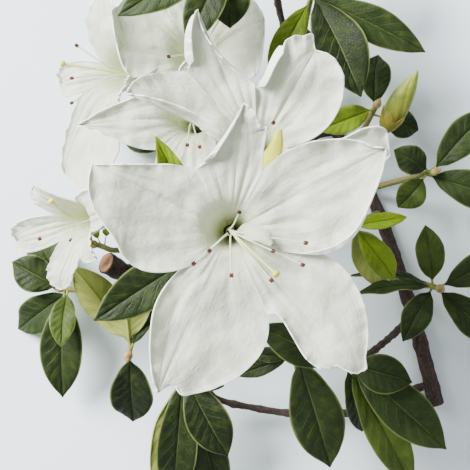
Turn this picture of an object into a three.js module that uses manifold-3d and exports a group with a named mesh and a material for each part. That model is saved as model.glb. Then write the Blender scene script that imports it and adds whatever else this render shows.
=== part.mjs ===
// A flowering azalea branch, as cut, lying on a level surface with its blooms facing up.
// Millimetres, +Z up. The plan is laid out round the throat of the front bloom.
import * as THREE from "three";
import { mergeGeometries, mergeVertices } from "three/addons/utils/BufferGeometryUtils.js";
import Module from "manifold-3d";

const wasm = await Module();
wasm.setup();

// How far the whole branch is moved to put the middle of its underside at the origin.
const SHIFT_X = -11.16;
const SHIFT_Y = -9.01;
const SHIFT_Z = -0.4;

// Driving dimensions.
const CLEAR = 0.35; // between one piece and the next
const WELD = 1e-3; // points closer than this are one point
const PETAL_THICK = 0.6;
const TUBE_DEPTH = 27; // from the mouth of a bloom down to the foot of its tube
const TUBE_RADIUS = 2.3; // of the tube at its foot
const TUBE_FLARE = 5; // how fast the tube opens into a funnel
const FUSED_ROWS = 3; // rows of a corolla below its notches
const LEAF_THICK = 0.6;
const LEAF_ROWS = 5; // rows of a leaf's surface, the first one its stalk
const PETIOLE = 3.5; // length of a leaf's stalk
const PETIOLE_WIDTH = 1;
const STALK_RADIUS = 0.8;
const FLAP_WIDTH = 6; // of the flap that a stamen has turned into
const WHORL_RADIUS = 1.05; // of the twig end that bears a mass of leaves
const FILAMENT_RADIUS = 0.38;
const ANTHER_RADIUS = 0.85;
const HUB_RADIUS = 1.5; // of the foot that the stamens share

const COLOURS = {
  bark: { color: 0x5a3a2c, roughness: 0.85 },
  leaf: { color: 0x2f5a2a, roughness: 0.42 },
  petal: { color: 0xf0f2ea, roughness: 0.5 },
  stamen: { color: 0xf2f0c8, roughness: 0.5 },
  stalk: { color: 0x8fa04a, roughness: 0.6 },
  bud: { color: 0xc3cc63, roughness: 0.5 },
};

const radians = THREE.MathUtils.degToRad;
const lerp = THREE.MathUtils.lerp;
const smooth = (t) => THREE.MathUtils.smoothstep(t, 0, 1);

// A point at a turn in degrees round the axis, a reach in millimetres from it, and a height.
function polar([turn, reach], z = 0) {
  return new THREE.Vector3(reach * Math.cos(radians(turn)), reach * Math.sin(radians(turn)), z);
}

// A direction from its turn round the vertical and its rise above the level, in degrees.
function heading(turn, rise) {
  return polar([turn, Math.cos(radians(rise))], Math.sin(radians(rise)));
}

// The same surface with its doubled points made one and its collapsed faces dropped.
function weld(geometry) {
  const bare = new THREE.BufferGeometry();
  bare.setAttribute("position", geometry.getAttribute("position"));
  bare.setIndex(geometry.getIndex());
  const merged = mergeVertices(bare, WELD);
  const kept = [];
  const corners = merged.getIndex().array;
  for (let i = 0; i < corners.length; i += 3) {
    const [a, b, c] = corners.slice(i, i + 3);
    if (a !== b && b !== c && c !== a) kept.push(a, b, c);
  }
  merged.setIndex(kept);
  return merged;
}

// A closed shell of even thickness round a thin surface: a face on each side and a rim.
function thicken(surface, thickness) {
  const sheet = weld(surface);
  sheet.computeVertexNormals();
  const point = sheet.getAttribute("position");
  const normal = sheet.getAttribute("normal");
  const count = point.count;
  const places = new Float32Array(count * 6);
  for (let i = 0; i < count; i++) {
    const p = new THREE.Vector3().fromBufferAttribute(point, i);
    const n = new THREE.Vector3().fromBufferAttribute(normal, i);
    p.clone().addScaledVector(n, thickness / 2).toArray(places, i * 3);
    p.clone().addScaledVector(n, -thickness / 2).toArray(places, (i + count) * 3);
  }
  const corners = [];
  const edges = new Set();
  const faces = sheet.getIndex().array;
  for (let i = 0; i < faces.length; i += 3) {
    const [a, b, c] = faces.slice(i, i + 3);
    corners.push(a, b, c, c + count, b + count, a + count);
    [[a, b], [b, c], [c, a]].forEach(([p, q]) => edges.add(p + "_" + q));
  }
  for (const edge of edges) {
    const [p, q] = edge.split("_").map(Number);
    if (edges.has(q + "_" + p)) continue;
    corners.push(q, p, p + count, q, p + count, q + count);
  }
  const shell = new THREE.BufferGeometry();
  shell.setAttribute("position", new THREE.BufferAttribute(places, 3));
  shell.setIndex(corners);
  return shell;
}

function solidOf(geometry) {
  const closed = weld(geometry);
  return new wasm.Manifold(
    new wasm.Mesh({
      numProp: 3,
      vertProperties: closed.getAttribute("position").array,
      triVerts: new Uint32Array(closed.getIndex().array),
    }),
  );
}

function joined(geometries) {
  const solid = geometries.map(solidOf).reduce((all, next) => all.add(next));
  const mesh = solid.getMesh();
  const geometry = new THREE.BufferGeometry();
  geometry.setAttribute("position", new THREE.BufferAttribute(mesh.vertProperties, 3));
  geometry.setIndex(new THREE.BufferAttribute(mesh.triVerts, 1));
  return geometry;
}

// A round limb that tapers along a smooth line through the given points.
function limb(points, startRadius, endRadius, sides = 8, rows = 10) {
  const line = new THREE.CatmullRomCurve3(points, false, "catmullrom", 0.5);
  const frames = line.computeFrenetFrames(rows, false);
  const tube = new THREE.CylinderGeometry(1, 1, 1, sides, rows);
  const place = tube.getAttribute("position");
  for (let i = 0; i < place.count; i++) {
    const along = place.getY(i) + 0.5;
    const row = Math.round(along * rows);
    const radius = lerp(startRadius, endRadius, along);
    const p = line.getPointAt(along);
    p.addScaledVector(frames.binormals[row], place.getX(i) * radius);
    p.addScaledVector(frames.normals[row], place.getZ(i) * radius);
    place.setXYZ(i, p.x, p.y, p.z);
  }
  return tube;
}

// Turns a geometry whose face looks along +Z so that it looks along axis, and sets it at place.
function aimed(geometry, axis, place) {
  const turn = new THREE.Quaternion().setFromUnitVectors(
    new THREE.Vector3(0, 0, 1),
    axis.clone().normalize(),
  );
  const matrix = new THREE.Matrix4().compose(place, turn, new THREE.Vector3(1, 1, 1));
  return geometry.clone().applyMatrix4(matrix);
}

// BLOOMS
// A lobe's tip and the handles of its two margins are [turn in degrees, reach in mm] round the
// throat. Left is the anticlockwise side, seen from in front. Each margin is a curve from its
// notch to the tip, and swells are [side, share along it, size, width] where it stands out of that
// curve or is nicked. rise lifts the lobe, droop lowers its tip, and the two lifts raise or lower
// the margins between notch and tip.

// Height of the open funnel at a distance from its axis, with the mouth at height 0.
function funnel(reach) {
  return -TUBE_DEPTH * Math.exp(-(reach - TUBE_RADIUS) / TUBE_FLARE);
}

// How far a margin stands out of its smooth curve, or in where it is nicked.
function swell(lobe, side, free) {
  const all = (lobe.swells ?? [])
    .filter(([where]) => where === side)
    .reduce((sum, [, at, size, width]) => sum + size * Math.exp(-(((free - at) / width) ** 2)), 0);
  return all * Math.min(1, (1 - free) * 12);
}

// One lobe with its share of the tube. notches are the one on its right and the one on its left.
function lobeSheet(lobe, rightNotch, leftNotch, columns, rows) {
  const middle = lobe.tip[0];
  const margin = (notch, [first, second]) =>
    new THREE.CubicBezierCurve3(polar(notch), polar(first), polar(second), polar(lobe.tip));
  const curves = { left: margin(leftNotch, lobe.left), right: margin(rightNotch, lobe.right) };
  const notches = { left: leftNotch, right: rightNotch };
  const foldReach = (leftNotch[1] + rightNotch[1]) / 2;
  const sheet = new THREE.PlaneGeometry(2, 1, columns, rows);
  const place = sheet.getAttribute("position");
  for (let i = 0; i < place.count; i++) {
    const across = place.getX(i);
    const row = Math.round((place.getY(i) + 0.5) * rows);
    const side = across < 0 ? "left" : "right";
    const out = Math.abs(across);
    const free = Math.max(0, (row - FUSED_ROWS) / (rows - FUSED_ROWS));
    let edge;
    let ribReach;
    if (row <= FUSED_ROWS) {
      const share = Math.pow(row / FUSED_ROWS, 1.3);
      edge = polar([notches[side][0], lerp(TUBE_RADIUS, notches[side][1], share)]);
      ribReach = lerp(TUBE_RADIUS, foldReach, share);
    } else {
      edge = curves[side].getPoint(free);
      edge.setLength(edge.length() + swell(lobe, side, free));
      ribReach = lerp(foldReach, lobe.tip[1], free);
    }
    const rib = polar([middle, 1]);
    const swing = Math.atan2(rib.x * edge.y - rib.y * edge.x, rib.x * edge.x + rib.y * edge.y);
    const turn = middle + THREE.MathUtils.radToDeg(swing) * out;
    const reach = lerp(ribReach, Math.hypot(edge.x, edge.y), out * out);
    const lift = (side === "left" ? lobe.leftLift : lobe.rightLift) * out * out;
    const window = Math.sqrt(Math.sin(Math.PI * Math.min(free, 1)) + 1e-9);
    const wave = lobe.ripple * Math.sin(9 * free + 2 * across) * out * window * smooth(free * 3);
    const height = funnel(reach) + lobe.rise * smooth(free) - lobe.droop * Math.pow(free, 4);
    place.setXYZ(i, ...polar([turn, reach], height + lift * window + wave));
  }
  return sheet;
}

function corolla(bloom, columns, rows) {
  const sheets = bloom.lobes.map((lobe, i) => {
    const leftNotch = bloom.notches[(i + 1) % bloom.lobes.length];
    return lobeSheet(lobe, bloom.notches[i], leftNotch, columns, rows);
  });
  return thicken(mergeGeometries(sheets), PETAL_THICK);
}

// The style and the filaments stand on one foot at the bottom of the tube. Each ends at
// [turn, reach, height above the mouth], the style in a knob and a filament in an anther.
function stamens(tips) {
  const foot = -TUBE_DEPTH + 1.2;
  const hub = new THREE.CylinderGeometry(HUB_RADIUS, HUB_RADIUS, 1.2, 10);
  hub.rotateX(Math.PI / 2).translate(0, 0, foot - 0.6);
  const solids = [hub];
  const filaments = tips.slice(1).sort((p, q) => p[0] - q[0]);
  [tips[0], ...filaments].forEach(([turn, reach, height], i) => {
    const isStyle = i === 0;
    const slot = filaments[0][0] + ((i - 1) * 360) / filaments.length;
    const ring = isStyle ? 0 : HUB_RADIUS * 0.72;
    const points = [
      polar([slot, ring], foot - 0.8),
      polar([slot, ring], -TUBE_DEPTH * (isStyle ? 0.45 : 0.55)),
      polar([turn, Math.min(2.4, reach * 0.3)], -2),
      polar([turn, reach], height),
    ];
    const thick = isStyle ? FILAMENT_RADIUS * 1.5 : FILAMENT_RADIUS;
    solids.push(limb(points, thick, thick * 0.9, 3, 4));
    const end = new THREE.OctahedronGeometry(isStyle ? ANTHER_RADIUS * 1.4 : ANTHER_RADIUS, 0);
    end.scale(1.3, 0.9, 0.9).rotateZ(radians(turn));
    end.translate(points[3].x, points[3].y, points[3].z);
    solids.push(end);
  });
  return solids;
}

// A small white flap that a stamen has turned into, along [turn, reach, height] points.
function petaloid(points, width) {
  const line = new THREE.CatmullRomCurve3([
    polar([0, 0.5], -TUBE_DEPTH + 0.8),
    ...points.map(([turn, reach, height]) => polar([turn, reach], height)),
  ]);
  const rows = 8;
  const sheet = new THREE.PlaneGeometry(2, 1, 2, rows);
  const place = sheet.getAttribute("position");
  for (let i = 0; i < place.count; i++) {
    const along = place.getY(i) + 0.5;
    const across = place.getX(i);
    const way = line.getTangentAt(along);
    const aside = new THREE.Vector3(way.y, -way.x, 0).normalize();
    const opened = smooth((along - 0.45) / 0.4);
    const half = 0.4 + (width / 2 - 0.4) * opened * (1 - 0.5 * Math.pow(along, 8));
    const p = line.getPointAt(along).addScaledVector(aside, across * half);
    place.setXYZ(i, p.x, p.y, p.z - across * across * half * 0.3);
  }
  return thicken(sheet, PETAL_THICK);
}

// A stalk that ends in a shallow green cup, which holds the foot of the tube.
function calyx() {
  const floor = -TUBE_DEPTH - CLEAR - PETAL_THICK / 2;
  const bore = TUBE_RADIUS + PETAL_THICK / 2 + CLEAR + 0.25;
  const profile = [
    [0, floor - 2.6],
    [STALK_RADIUS, floor - 2.4],
    [bore + 0.5, floor - 0.6],
    [bore + 0.6, floor + 1.8],
    [bore, floor + 1.8],
    [bore - 0.1, floor],
    [0, floor],
  ];
  const cup = new THREE.LatheGeometry(profile.map(([x, y]) => new THREE.Vector2(x, y)), 8);
  return cup.rotateX(Math.PI / 2);
}

// LEAVES
// A leaf on its stalk, from the origin along +X with its upper side up. The first row of its
// surface is the stalk.
function leaf({ length, width, arch = 2.5, fold = 0.22 }) {
  const sheet = new THREE.PlaneGeometry(2, 1, 2, LEAF_ROWS);
  const place = sheet.getAttribute("position");
  for (let i = 0; i < place.count; i++) {
    const row = Math.round((place.getY(i) + 0.5) * LEAF_ROWS);
    const along = Math.max(0, (row - 1) / (LEAF_ROWS - 1));
    const across = -place.getX(i);
    const x = row === 0 ? 0 : lerp(PETIOLE, length, along);
    const half = row === 0 ? PETIOLE_WIDTH / 2 : leafHalfWidth(along, width);
    const z = arch * Math.sin((Math.PI * x) / length) + fold * Math.abs(across) * half;
    place.setXYZ(i, x, across * half, z);
  }
  return thicken(sheet, LEAF_THICK);
}

function leafHalfWidth(along, width) {
  const swell = Math.sin(Math.PI * Math.pow(Math.min(along, 1), 1.05));
  const tip = 1 - 0.7 * Math.pow(along, 12);
  return PETIOLE_WIDTH / 2 + ((width - PETIOLE_WIDTH) / 2) * Math.pow(swell, 0.8) * tip;
}

// A leaf from a place on its twig to its tip. roll turns it about that line, so that roll 180
// shows its pale underside from above.
function setLeaf({ tip, width, roll = 0, arch, fold }, place) {
  const way = new THREE.Vector3(...tip).sub(place);
  const length = way.length();
  const ahead = way.normalize();
  const aside = new THREE.Vector3(0, 0, 1).cross(ahead).normalize();
  const up = ahead.clone().cross(aside);
  const basis = new THREE.Matrix4().makeBasis(ahead, aside, up);
  const twist = new THREE.Matrix4().makeRotationX(radians(roll));
  const matrix = new THREE.Matrix4().makeTranslation(place).multiply(basis).multiply(twist);
  return leaf({ length, width, arch, fold }).applyMatrix4(matrix);
}

// A mass of leaves: the end of a twig with its leaves set along its last millimetres, and a
// small bud at its tip.
function whorl(line, radius, leaves) {
  const pieces = [limb(line, radius * 1.1, radius, 6, 3)];
  const tip = line.at(-1);
  const back = line.at(-2).clone().sub(tip).normalize();
  leaves.forEach((spec, i) => {
    const step = spec.down ?? 0.6 + (i % 3) * 1.2;
    pieces.push(setLeaf(spec, tip.clone().addScaledVector(back, step)));
  });
  const bud = new THREE.SphereGeometry(1, 6, 3);
  bud.scale(radius * 1.5, radius * 1.5, 2.6).translate(0, 0, 1.6);
  pieces.push(aimed(bud, back.negate(), tip));
  return pieces;
}

// THE BRANCH
const v = (x, y, z) => new THREE.Vector3(x, y, z);

const branch = new THREE.Group();

function addNode(name, geometries, material) {
  const geometry = geometries.length > 1 ? joined(geometries) : geometries[0];
  const mesh = new THREE.Mesh(geometry, new THREE.MeshStandardMaterial(COLOURS[material]));
  mesh.name = name;
  branch.add(mesh);
}

// Where a piece meets a limb: a point clear of the limb's bark on the side that faces target, or
// beyond its tip when share is 1, and the way out from there.
const limbs = {};

function joint(name, share, target) {
  const { line, radii } = limbs[name];
  const centre = line.getPointAt(share);
  const along = line.getTangentAt(share);
  if (share === 1) return { foot: centre.addScaledVector(along, CLEAR), out: along };
  const out = target.clone().sub(centre);
  out.addScaledVector(along, -out.dot(along)).normalize();
  return { foot: centre.addScaledVector(out, lerp(...radii, share) + CLEAR), out };
}

// A smooth line that leaves a limb squarely and runs through the given points.
function lineFrom(name, share, points) {
  const { foot, out } = joint(name, share, points[0]);
  return [foot, foot.clone().addScaledVector(out, 2), ...points];
}

// Woody limbs: the stem from its cut end at the lower right to its tip, and the twigs it bears.
// from names the limb that bears a twig, and how far along it.
const LIMBS = {
  main_stem: {
    points: [[74, -62, 3.2], [63, -22, 4], [51, 12, 3.4], [37, 38, 4], [29, 58, 9], [26, 69, 18]],
    radii: [2.8, 1.6],
  },
  flower_twig: {
    from: ["main_stem", 0.74],
    points: [[18, 31, 12], [4, 23, 19], [-3, 19, 25]],
    radii: [1.7, 1.4],
  },
  left_twig: {
    from: ["flower_twig", 0.8],
    points: [[-13, 6, 17], [-27, -8, 14], [-31, -24, 15]],
    radii: [1.3, 1.1],
  },
  lower_twig: {
    from: ["main_stem", 0.05],
    points: [[48, -64, 5], [24, -65, 6], [0, -61, 8], [-9, -56, 13]],
    radii: [1.5, 1.1],
  },
  right_twig: { from: ["main_stem", 0.22], points: [[54, -38, 16], [45, -43, 25]], radii: [1.3, 1.1] },
  top_twig: {
    from: ["main_stem", 0.8],
    points: [[19, 70, 16], [13, 85, 32], [4, 88, 45]],
    radii: [1.3, 1.1],
  },
};

for (const [name, { from, points, radii }] of Object.entries(LIMBS)) {
  const places = points.map((p) => v(...p));
  const through = from ? lineFrom(...from, places) : places;
  limbs[name] = { line: new THREE.CatmullRomCurve3(through, false, "catmullrom", 0.5), radii };
  addNode(name, [limb(through, radii[0], radii[1], 8, from ? 8 : 12)], "bark");
}

// Lobes and notches of each bloom, in the terms of the lobes above.
const FRONT = {
  notches: [[-21, 15.4], [62, 19.3], [118, 20.5], [227, 7.5], [294, 26.8]],
  lobes: [
    {
      tip: [28, 50.2], left: [[57, 34], [37, 45.5]], right: [[-20, 36.8], [6, 43.5]],
      rise: 6, droop: 2, leftLift: 1, rightLift: 2, ripple: 0.5,
      swells: [["left", 0.9, -1.4, 0.09], ["right", 0.7, -1.6, 0.18]],
    },
    {
      tip: [84, 36.9], left: [[103, 22.3], [87, 31.5]], right: [[67, 26], [74, 35]],
      rise: 3, droop: 1, leftLift: 0.5, rightLift: 0, ripple: 0.2,
      swells: [["right", 0.4, 4, 0.09]],
    },
    {
      tip: [154, 43.8], left: [[225, 32.4], [180, 44.7]], right: [[130, 26.8], [150, 36.5]],
      rise: 6, droop: 2, leftLift: 2, rightLift: 0, ripple: 0.4,
      swells: [["left", 0.38, 1, 0.12], ["left", 0.64, -2.4, 0.13]],
    },
    {
      tip: [246, 50.4], left: [[290, 42.6], [260, 51]], right: [[206, 28.9], [238, 45.4]],
      rise: 7, droop: 3, leftLift: -2, rightLift: 1, ripple: 0.5,
      swells: [["left", 0.93, -4.2, 0.065], ["right", 0.36, 1.5, 0.14]],
    },
    {
      tip: [312, 54.9], left: [[358, 37.5], [327, 53]], right: [[312, 26.7], [291, 47.6]],
      rise: 6, droop: 5, leftLift: -2, rightLift: 1.5, ripple: 0.4,
      swells: [
        ["right", 0.84, -3.4, 0.1], ["right", 0.93, -2.6, 0.06], ["left", 0.95, 2.5, 0.04],
      ],
    },
  ],
};

const UPPER = {
  notches: [[-55, 11.8], [6, 7.4], [93, 19.2], [132, 32.2], [166, 6.9]],
  lobes: [
    {
      tip: [-2, 40.5], left: [[-8, 28], [27, 39]], right: [[-28, 26.3], [-15, 35.7]],
      rise: 3, droop: 3, leftLift: 1, rightLift: 0, ripple: 0.4,
      swells: [["left", 0.8, 2, 0.1]],
    },
    {
      tip: [60, 34.5], left: [[86, 27], [74, 43.5]], right: [[4, 28.5], [42, 41.5]],
      rise: 5, droop: 2, leftLift: 1, rightLift: 1, ripple: 0.5,
      swells: [["left", 0.22, -3, 0.12], ["left", 0.9, 2.2, 0.06]],
    },
    {
      tip: [114, 44.8], left: [[127, 38], [121, 44]], right: [[110, 27], [119, 36]],
      rise: 6, droop: -1, leftLift: 1, rightLift: 0, ripple: 0.3,
    },
    {
      tip: [157, 43.6], left: [[143, 25.3], [156, 39.2]], right: [[145, 41.5], [151, 43.3]],
      rise: 4, droop: 3, leftLift: 0, rightLift: 1, ripple: 0.3,
    },
    {
      tip: [236, 15], left: [[262, 14], [247, 15]], right: [[210, 11], [225, 15]],
      rise: 1, droop: 4, leftLift: 0, rightLift: 0, ripple: 0,
    },
  ],
};

const INNER = {
  notches: [[55, 8], [120, 8.8], [227, 14.7], [315, 11.5], [365, 9.6]],
  lobes: [
    {
      tip: [88, 18], left: [[112, 14], [98, 17]], right: [[62, 13], [78, 17]],
      rise: 1, droop: 2, leftLift: 0, rightLift: 0, ripple: 0,
    },
    {
      tip: [185, 36.3], left: [[212, 22.8], [190, 26.7]], right: [[159, 21.3], [181, 29.1]],
      rise: 3, droop: 3, leftLift: 0, rightLift: 1, ripple: 0.4,
    },
    {
      tip: [263, 25.5], left: [[294, 20.3], [279, 25.1]], right: [[236, 21.6], [249, 25.6]],
      rise: 3, droop: 2, leftLift: 1, rightLift: 0, ripple: 0.3,
    },
    {
      tip: [340, 14], left: [[358, 13], [348, 14]], right: [[322, 13], [332, 14]],
      rise: 0, droop: 6, leftLift: 0, rightLift: 0, ripple: 0,
    },
    {
      tip: [390, 16], left: [[410, 12], [398, 15]], right: [[370, 13], [381, 15]],
      rise: 0, droop: 6, leftLift: 0, rightLift: 0, ripple: 0,
    },
  ],
};

const TOP = {
  notches: [[-22, 11], [56, 13], [122, 13], [203, 13], [268, 11]],
  lobes: [
    {
      tip: [24, 25], left: [[62, 26], [42, 27]], right: [[-45, 31], [2, 23]],
      rise: 3, droop: 3, leftLift: 1, rightLift: 0, ripple: 0.4,
    },
    {
      tip: [90, 28], left: [[128, 22], [105, 28]], right: [[52, 22], [75, 28]],
      rise: 3, droop: 3, leftLift: 1, rightLift: 0, ripple: 0.4,
    },
    {
      tip: [158, 29], left: [[222, 30], [192, 25]], right: [[112, 24], [130, 30]],
      rise: 5, droop: -3, leftLift: 3, rightLift: 0, ripple: 0.4,
    },
    {
      tip: [235, 20], left: [[268, 17], [250, 20]], right: [[205, 17], [222, 20]],
      rise: 2, droop: 3, leftLift: 1, rightLift: 0, ripple: 0.4,
    },
    {
      tip: [300, 17], left: [[330, 14], [312, 17]], right: [[270, 14], [288, 17]],
      rise: 2, droop: 3, leftLift: 1, rightLift: 0, ripple: 0.4,
    },
  ],
};

const SIDE = {
  notches: [[27, 6], [150, 8], [200, 11], [261, 8.9], [320, 8.7]],
  lobes: [
    {
      tip: [89, 27], left: [[130, 16], [112, 26]], right: [[44, 15], [66, 23]],
      rise: 2, droop: 1, leftLift: 0, rightLift: 1, ripple: 0.3,
    },
    {
      tip: [184, 24], left: [[208, 20], [197, 25]], right: [[160, 19], [172, 24]],
      rise: 2, droop: 2, leftLift: 0, rightLift: 1, ripple: 0.3,
    },
    {
      tip: [236, 40], left: [[312, 36], [272, 56]], right: [[222, 17], [228, 30]],
      rise: 2, droop: 3, leftLift: 0, rightLift: 1, ripple: 0.3,
    },
    {
      tip: [290, 14], left: [[308, 13], [298, 14]], right: [[272, 13], [282, 14]],
      rise: 0, droop: 3, leftLift: 0, rightLift: 0, ripple: 0,
    },
    {
      tip: [352, 11], left: [[376, 9], [364, 11]], right: [[328, 10], [340, 11]],
      rise: 0, droop: 2, leftLift: 0, rightLift: 0, ripple: 0,
    },
  ],
};

const LEFT = {
  notches: [[-16, 6.5], [95, 6.5], [165, 9], [225, 9], [300, 7]],
  lobes: [
    {
      tip: [15, 27.7], left: [[53, 14.9], [41, 24.5]], right: [[-14, 13.5], [3, 22.6]],
      rise: 1, droop: 1, leftLift: 0, rightLift: 1, ripple: 0.3,
    },
    {
      tip: [140, 19], left: [[156, 16], [148, 19]], right: [[120, 14], [130, 19]],
      rise: 2, droop: 2, leftLift: 0, rightLift: 1, ripple: 0.3,
    },
    {
      tip: [195, 26], left: [[216, 20], [206, 26]], right: [[174, 20], [184, 26]],
      rise: 2, droop: 2, leftLift: 0, rightLift: 1, ripple: 0.3,
    },
    {
      tip: [260, 22], left: [[286, 17], [273, 22]], right: [[236, 18], [247, 22]],
      rise: 2, droop: 2, leftLift: 0, rightLift: 1, ripple: 0.3,
    },
    {
      tip: [318, 16], left: [[342, 12], [332, 16]], right: [[294, 13], [304, 17]],
      rise: 1, droop: 2, leftLift: 0, rightLift: 0, ripple: 0.2,
    },
  ],
};

// The blooms: where each throat is, which way it faces, and the limb that bears its stalk. grid
// is the columns and rows of a lobe, and tips are the ends of the style and stamens.
const BLOOMS = {
  front: {
    shape: FRONT,
    throat: [0, 0, 76],
    face: [0, 90],
    from: ["flower_twig", 1],
    grid: [6, 10],
    tips: [
      [-43, 17.5, 6], [-136, 8.2, 2], [-138, 14, 3], [-88, 12.7, 4], [-50, 18.5, 3],
      [-25, 13.6, 5], [-9, 21.9, 5], [-25, 22.9, 5], [63, 6, 4],
    ],
    flap: [[0, 3.5, -3], [-4, 8, 2], [-18, 12.5, 3]],
  },
  upper: {
    shape: UPPER,
    throat: [8.5, 24.8, 60],
    face: [60, 88],
    from: ["flower_twig", 0.84],
    grid: [6, 8],
    tips: [[150, 6.5, 3], [95, 8, 4], [60, 9, 4], [200, 7, 3]],
    flap: [[-75, 4, -4], [-8, 4.8, 2], [42, 8.5, 5]],
  },
  inner: {
    shape: INNER,
    throat: [-12.7, 36.6, 50],
    face: [150, 85],
    from: ["flower_twig", 0.9],
    grid: [4, 7],
    tips: [[150, 6, 3], [165, 6.5, 4], [268, 10, 4], [288, 11, 3]],
  },
  top: {
    shape: TOP,
    throat: [-11.6, 59.4, 35],
    face: [100, 76],
    from: ["flower_twig", 0.75],
    grid: [4, 7],
    tips: [[80, 8, 3], [200, 9, 3], [320, 8, 3]],
  },
  upper_left: {
    shape: SIDE,
    throat: [-41.3, 54, 30.5],
    face: [175, 45],
    from: ["flower_twig", 0.95],
    via: [[-17, 30, 16]],
    grid: [4, 7],
    tips: [[170, 12, 9], [130, 10, 8], [200, 9, 8], [235, 14, 8]],
  },
  left: {
    shape: LEFT,
    throat: [-53.7, 2.4, 38],
    face: [195, 50],
    from: ["left_twig", 0.6],
    grid: [4, 7],
    tips: [[90, 8, 5], [210, 9, 5], [330, 8, 5]],
  },
};

for (const [name, bloom] of Object.entries(BLOOMS)) {
  const axis = heading(...bloom.face);
  const throat = v(...bloom.throat);
  addNode("corolla_" + name, [aimed(corolla(bloom.shape, ...bloom.grid), axis, throat)], "petal");
  const inside = stamens(bloom.tips);
  if (bloom.flap) inside.push(petaloid(bloom.flap, FLAP_WIDTH));
  addNode("stamens_" + name, inside.map((piece) => aimed(piece, axis, throat)), "stamen");
  const top = throat.clone().addScaledVector(axis, -TUBE_DEPTH - CLEAR - 1.5);
  const below = top.clone().addScaledVector(axis, -4);
  const line = lineFrom(...bloom.from, [...(bloom.via ?? []).map((p) => v(...p)), below]);
  const stalk = limb([...line, top], STALK_RADIUS, STALK_RADIUS, 5, 4);
  addNode("stalk_" + name, [stalk, aimed(calyx(), axis, throat)], "stalk");
}

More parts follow.
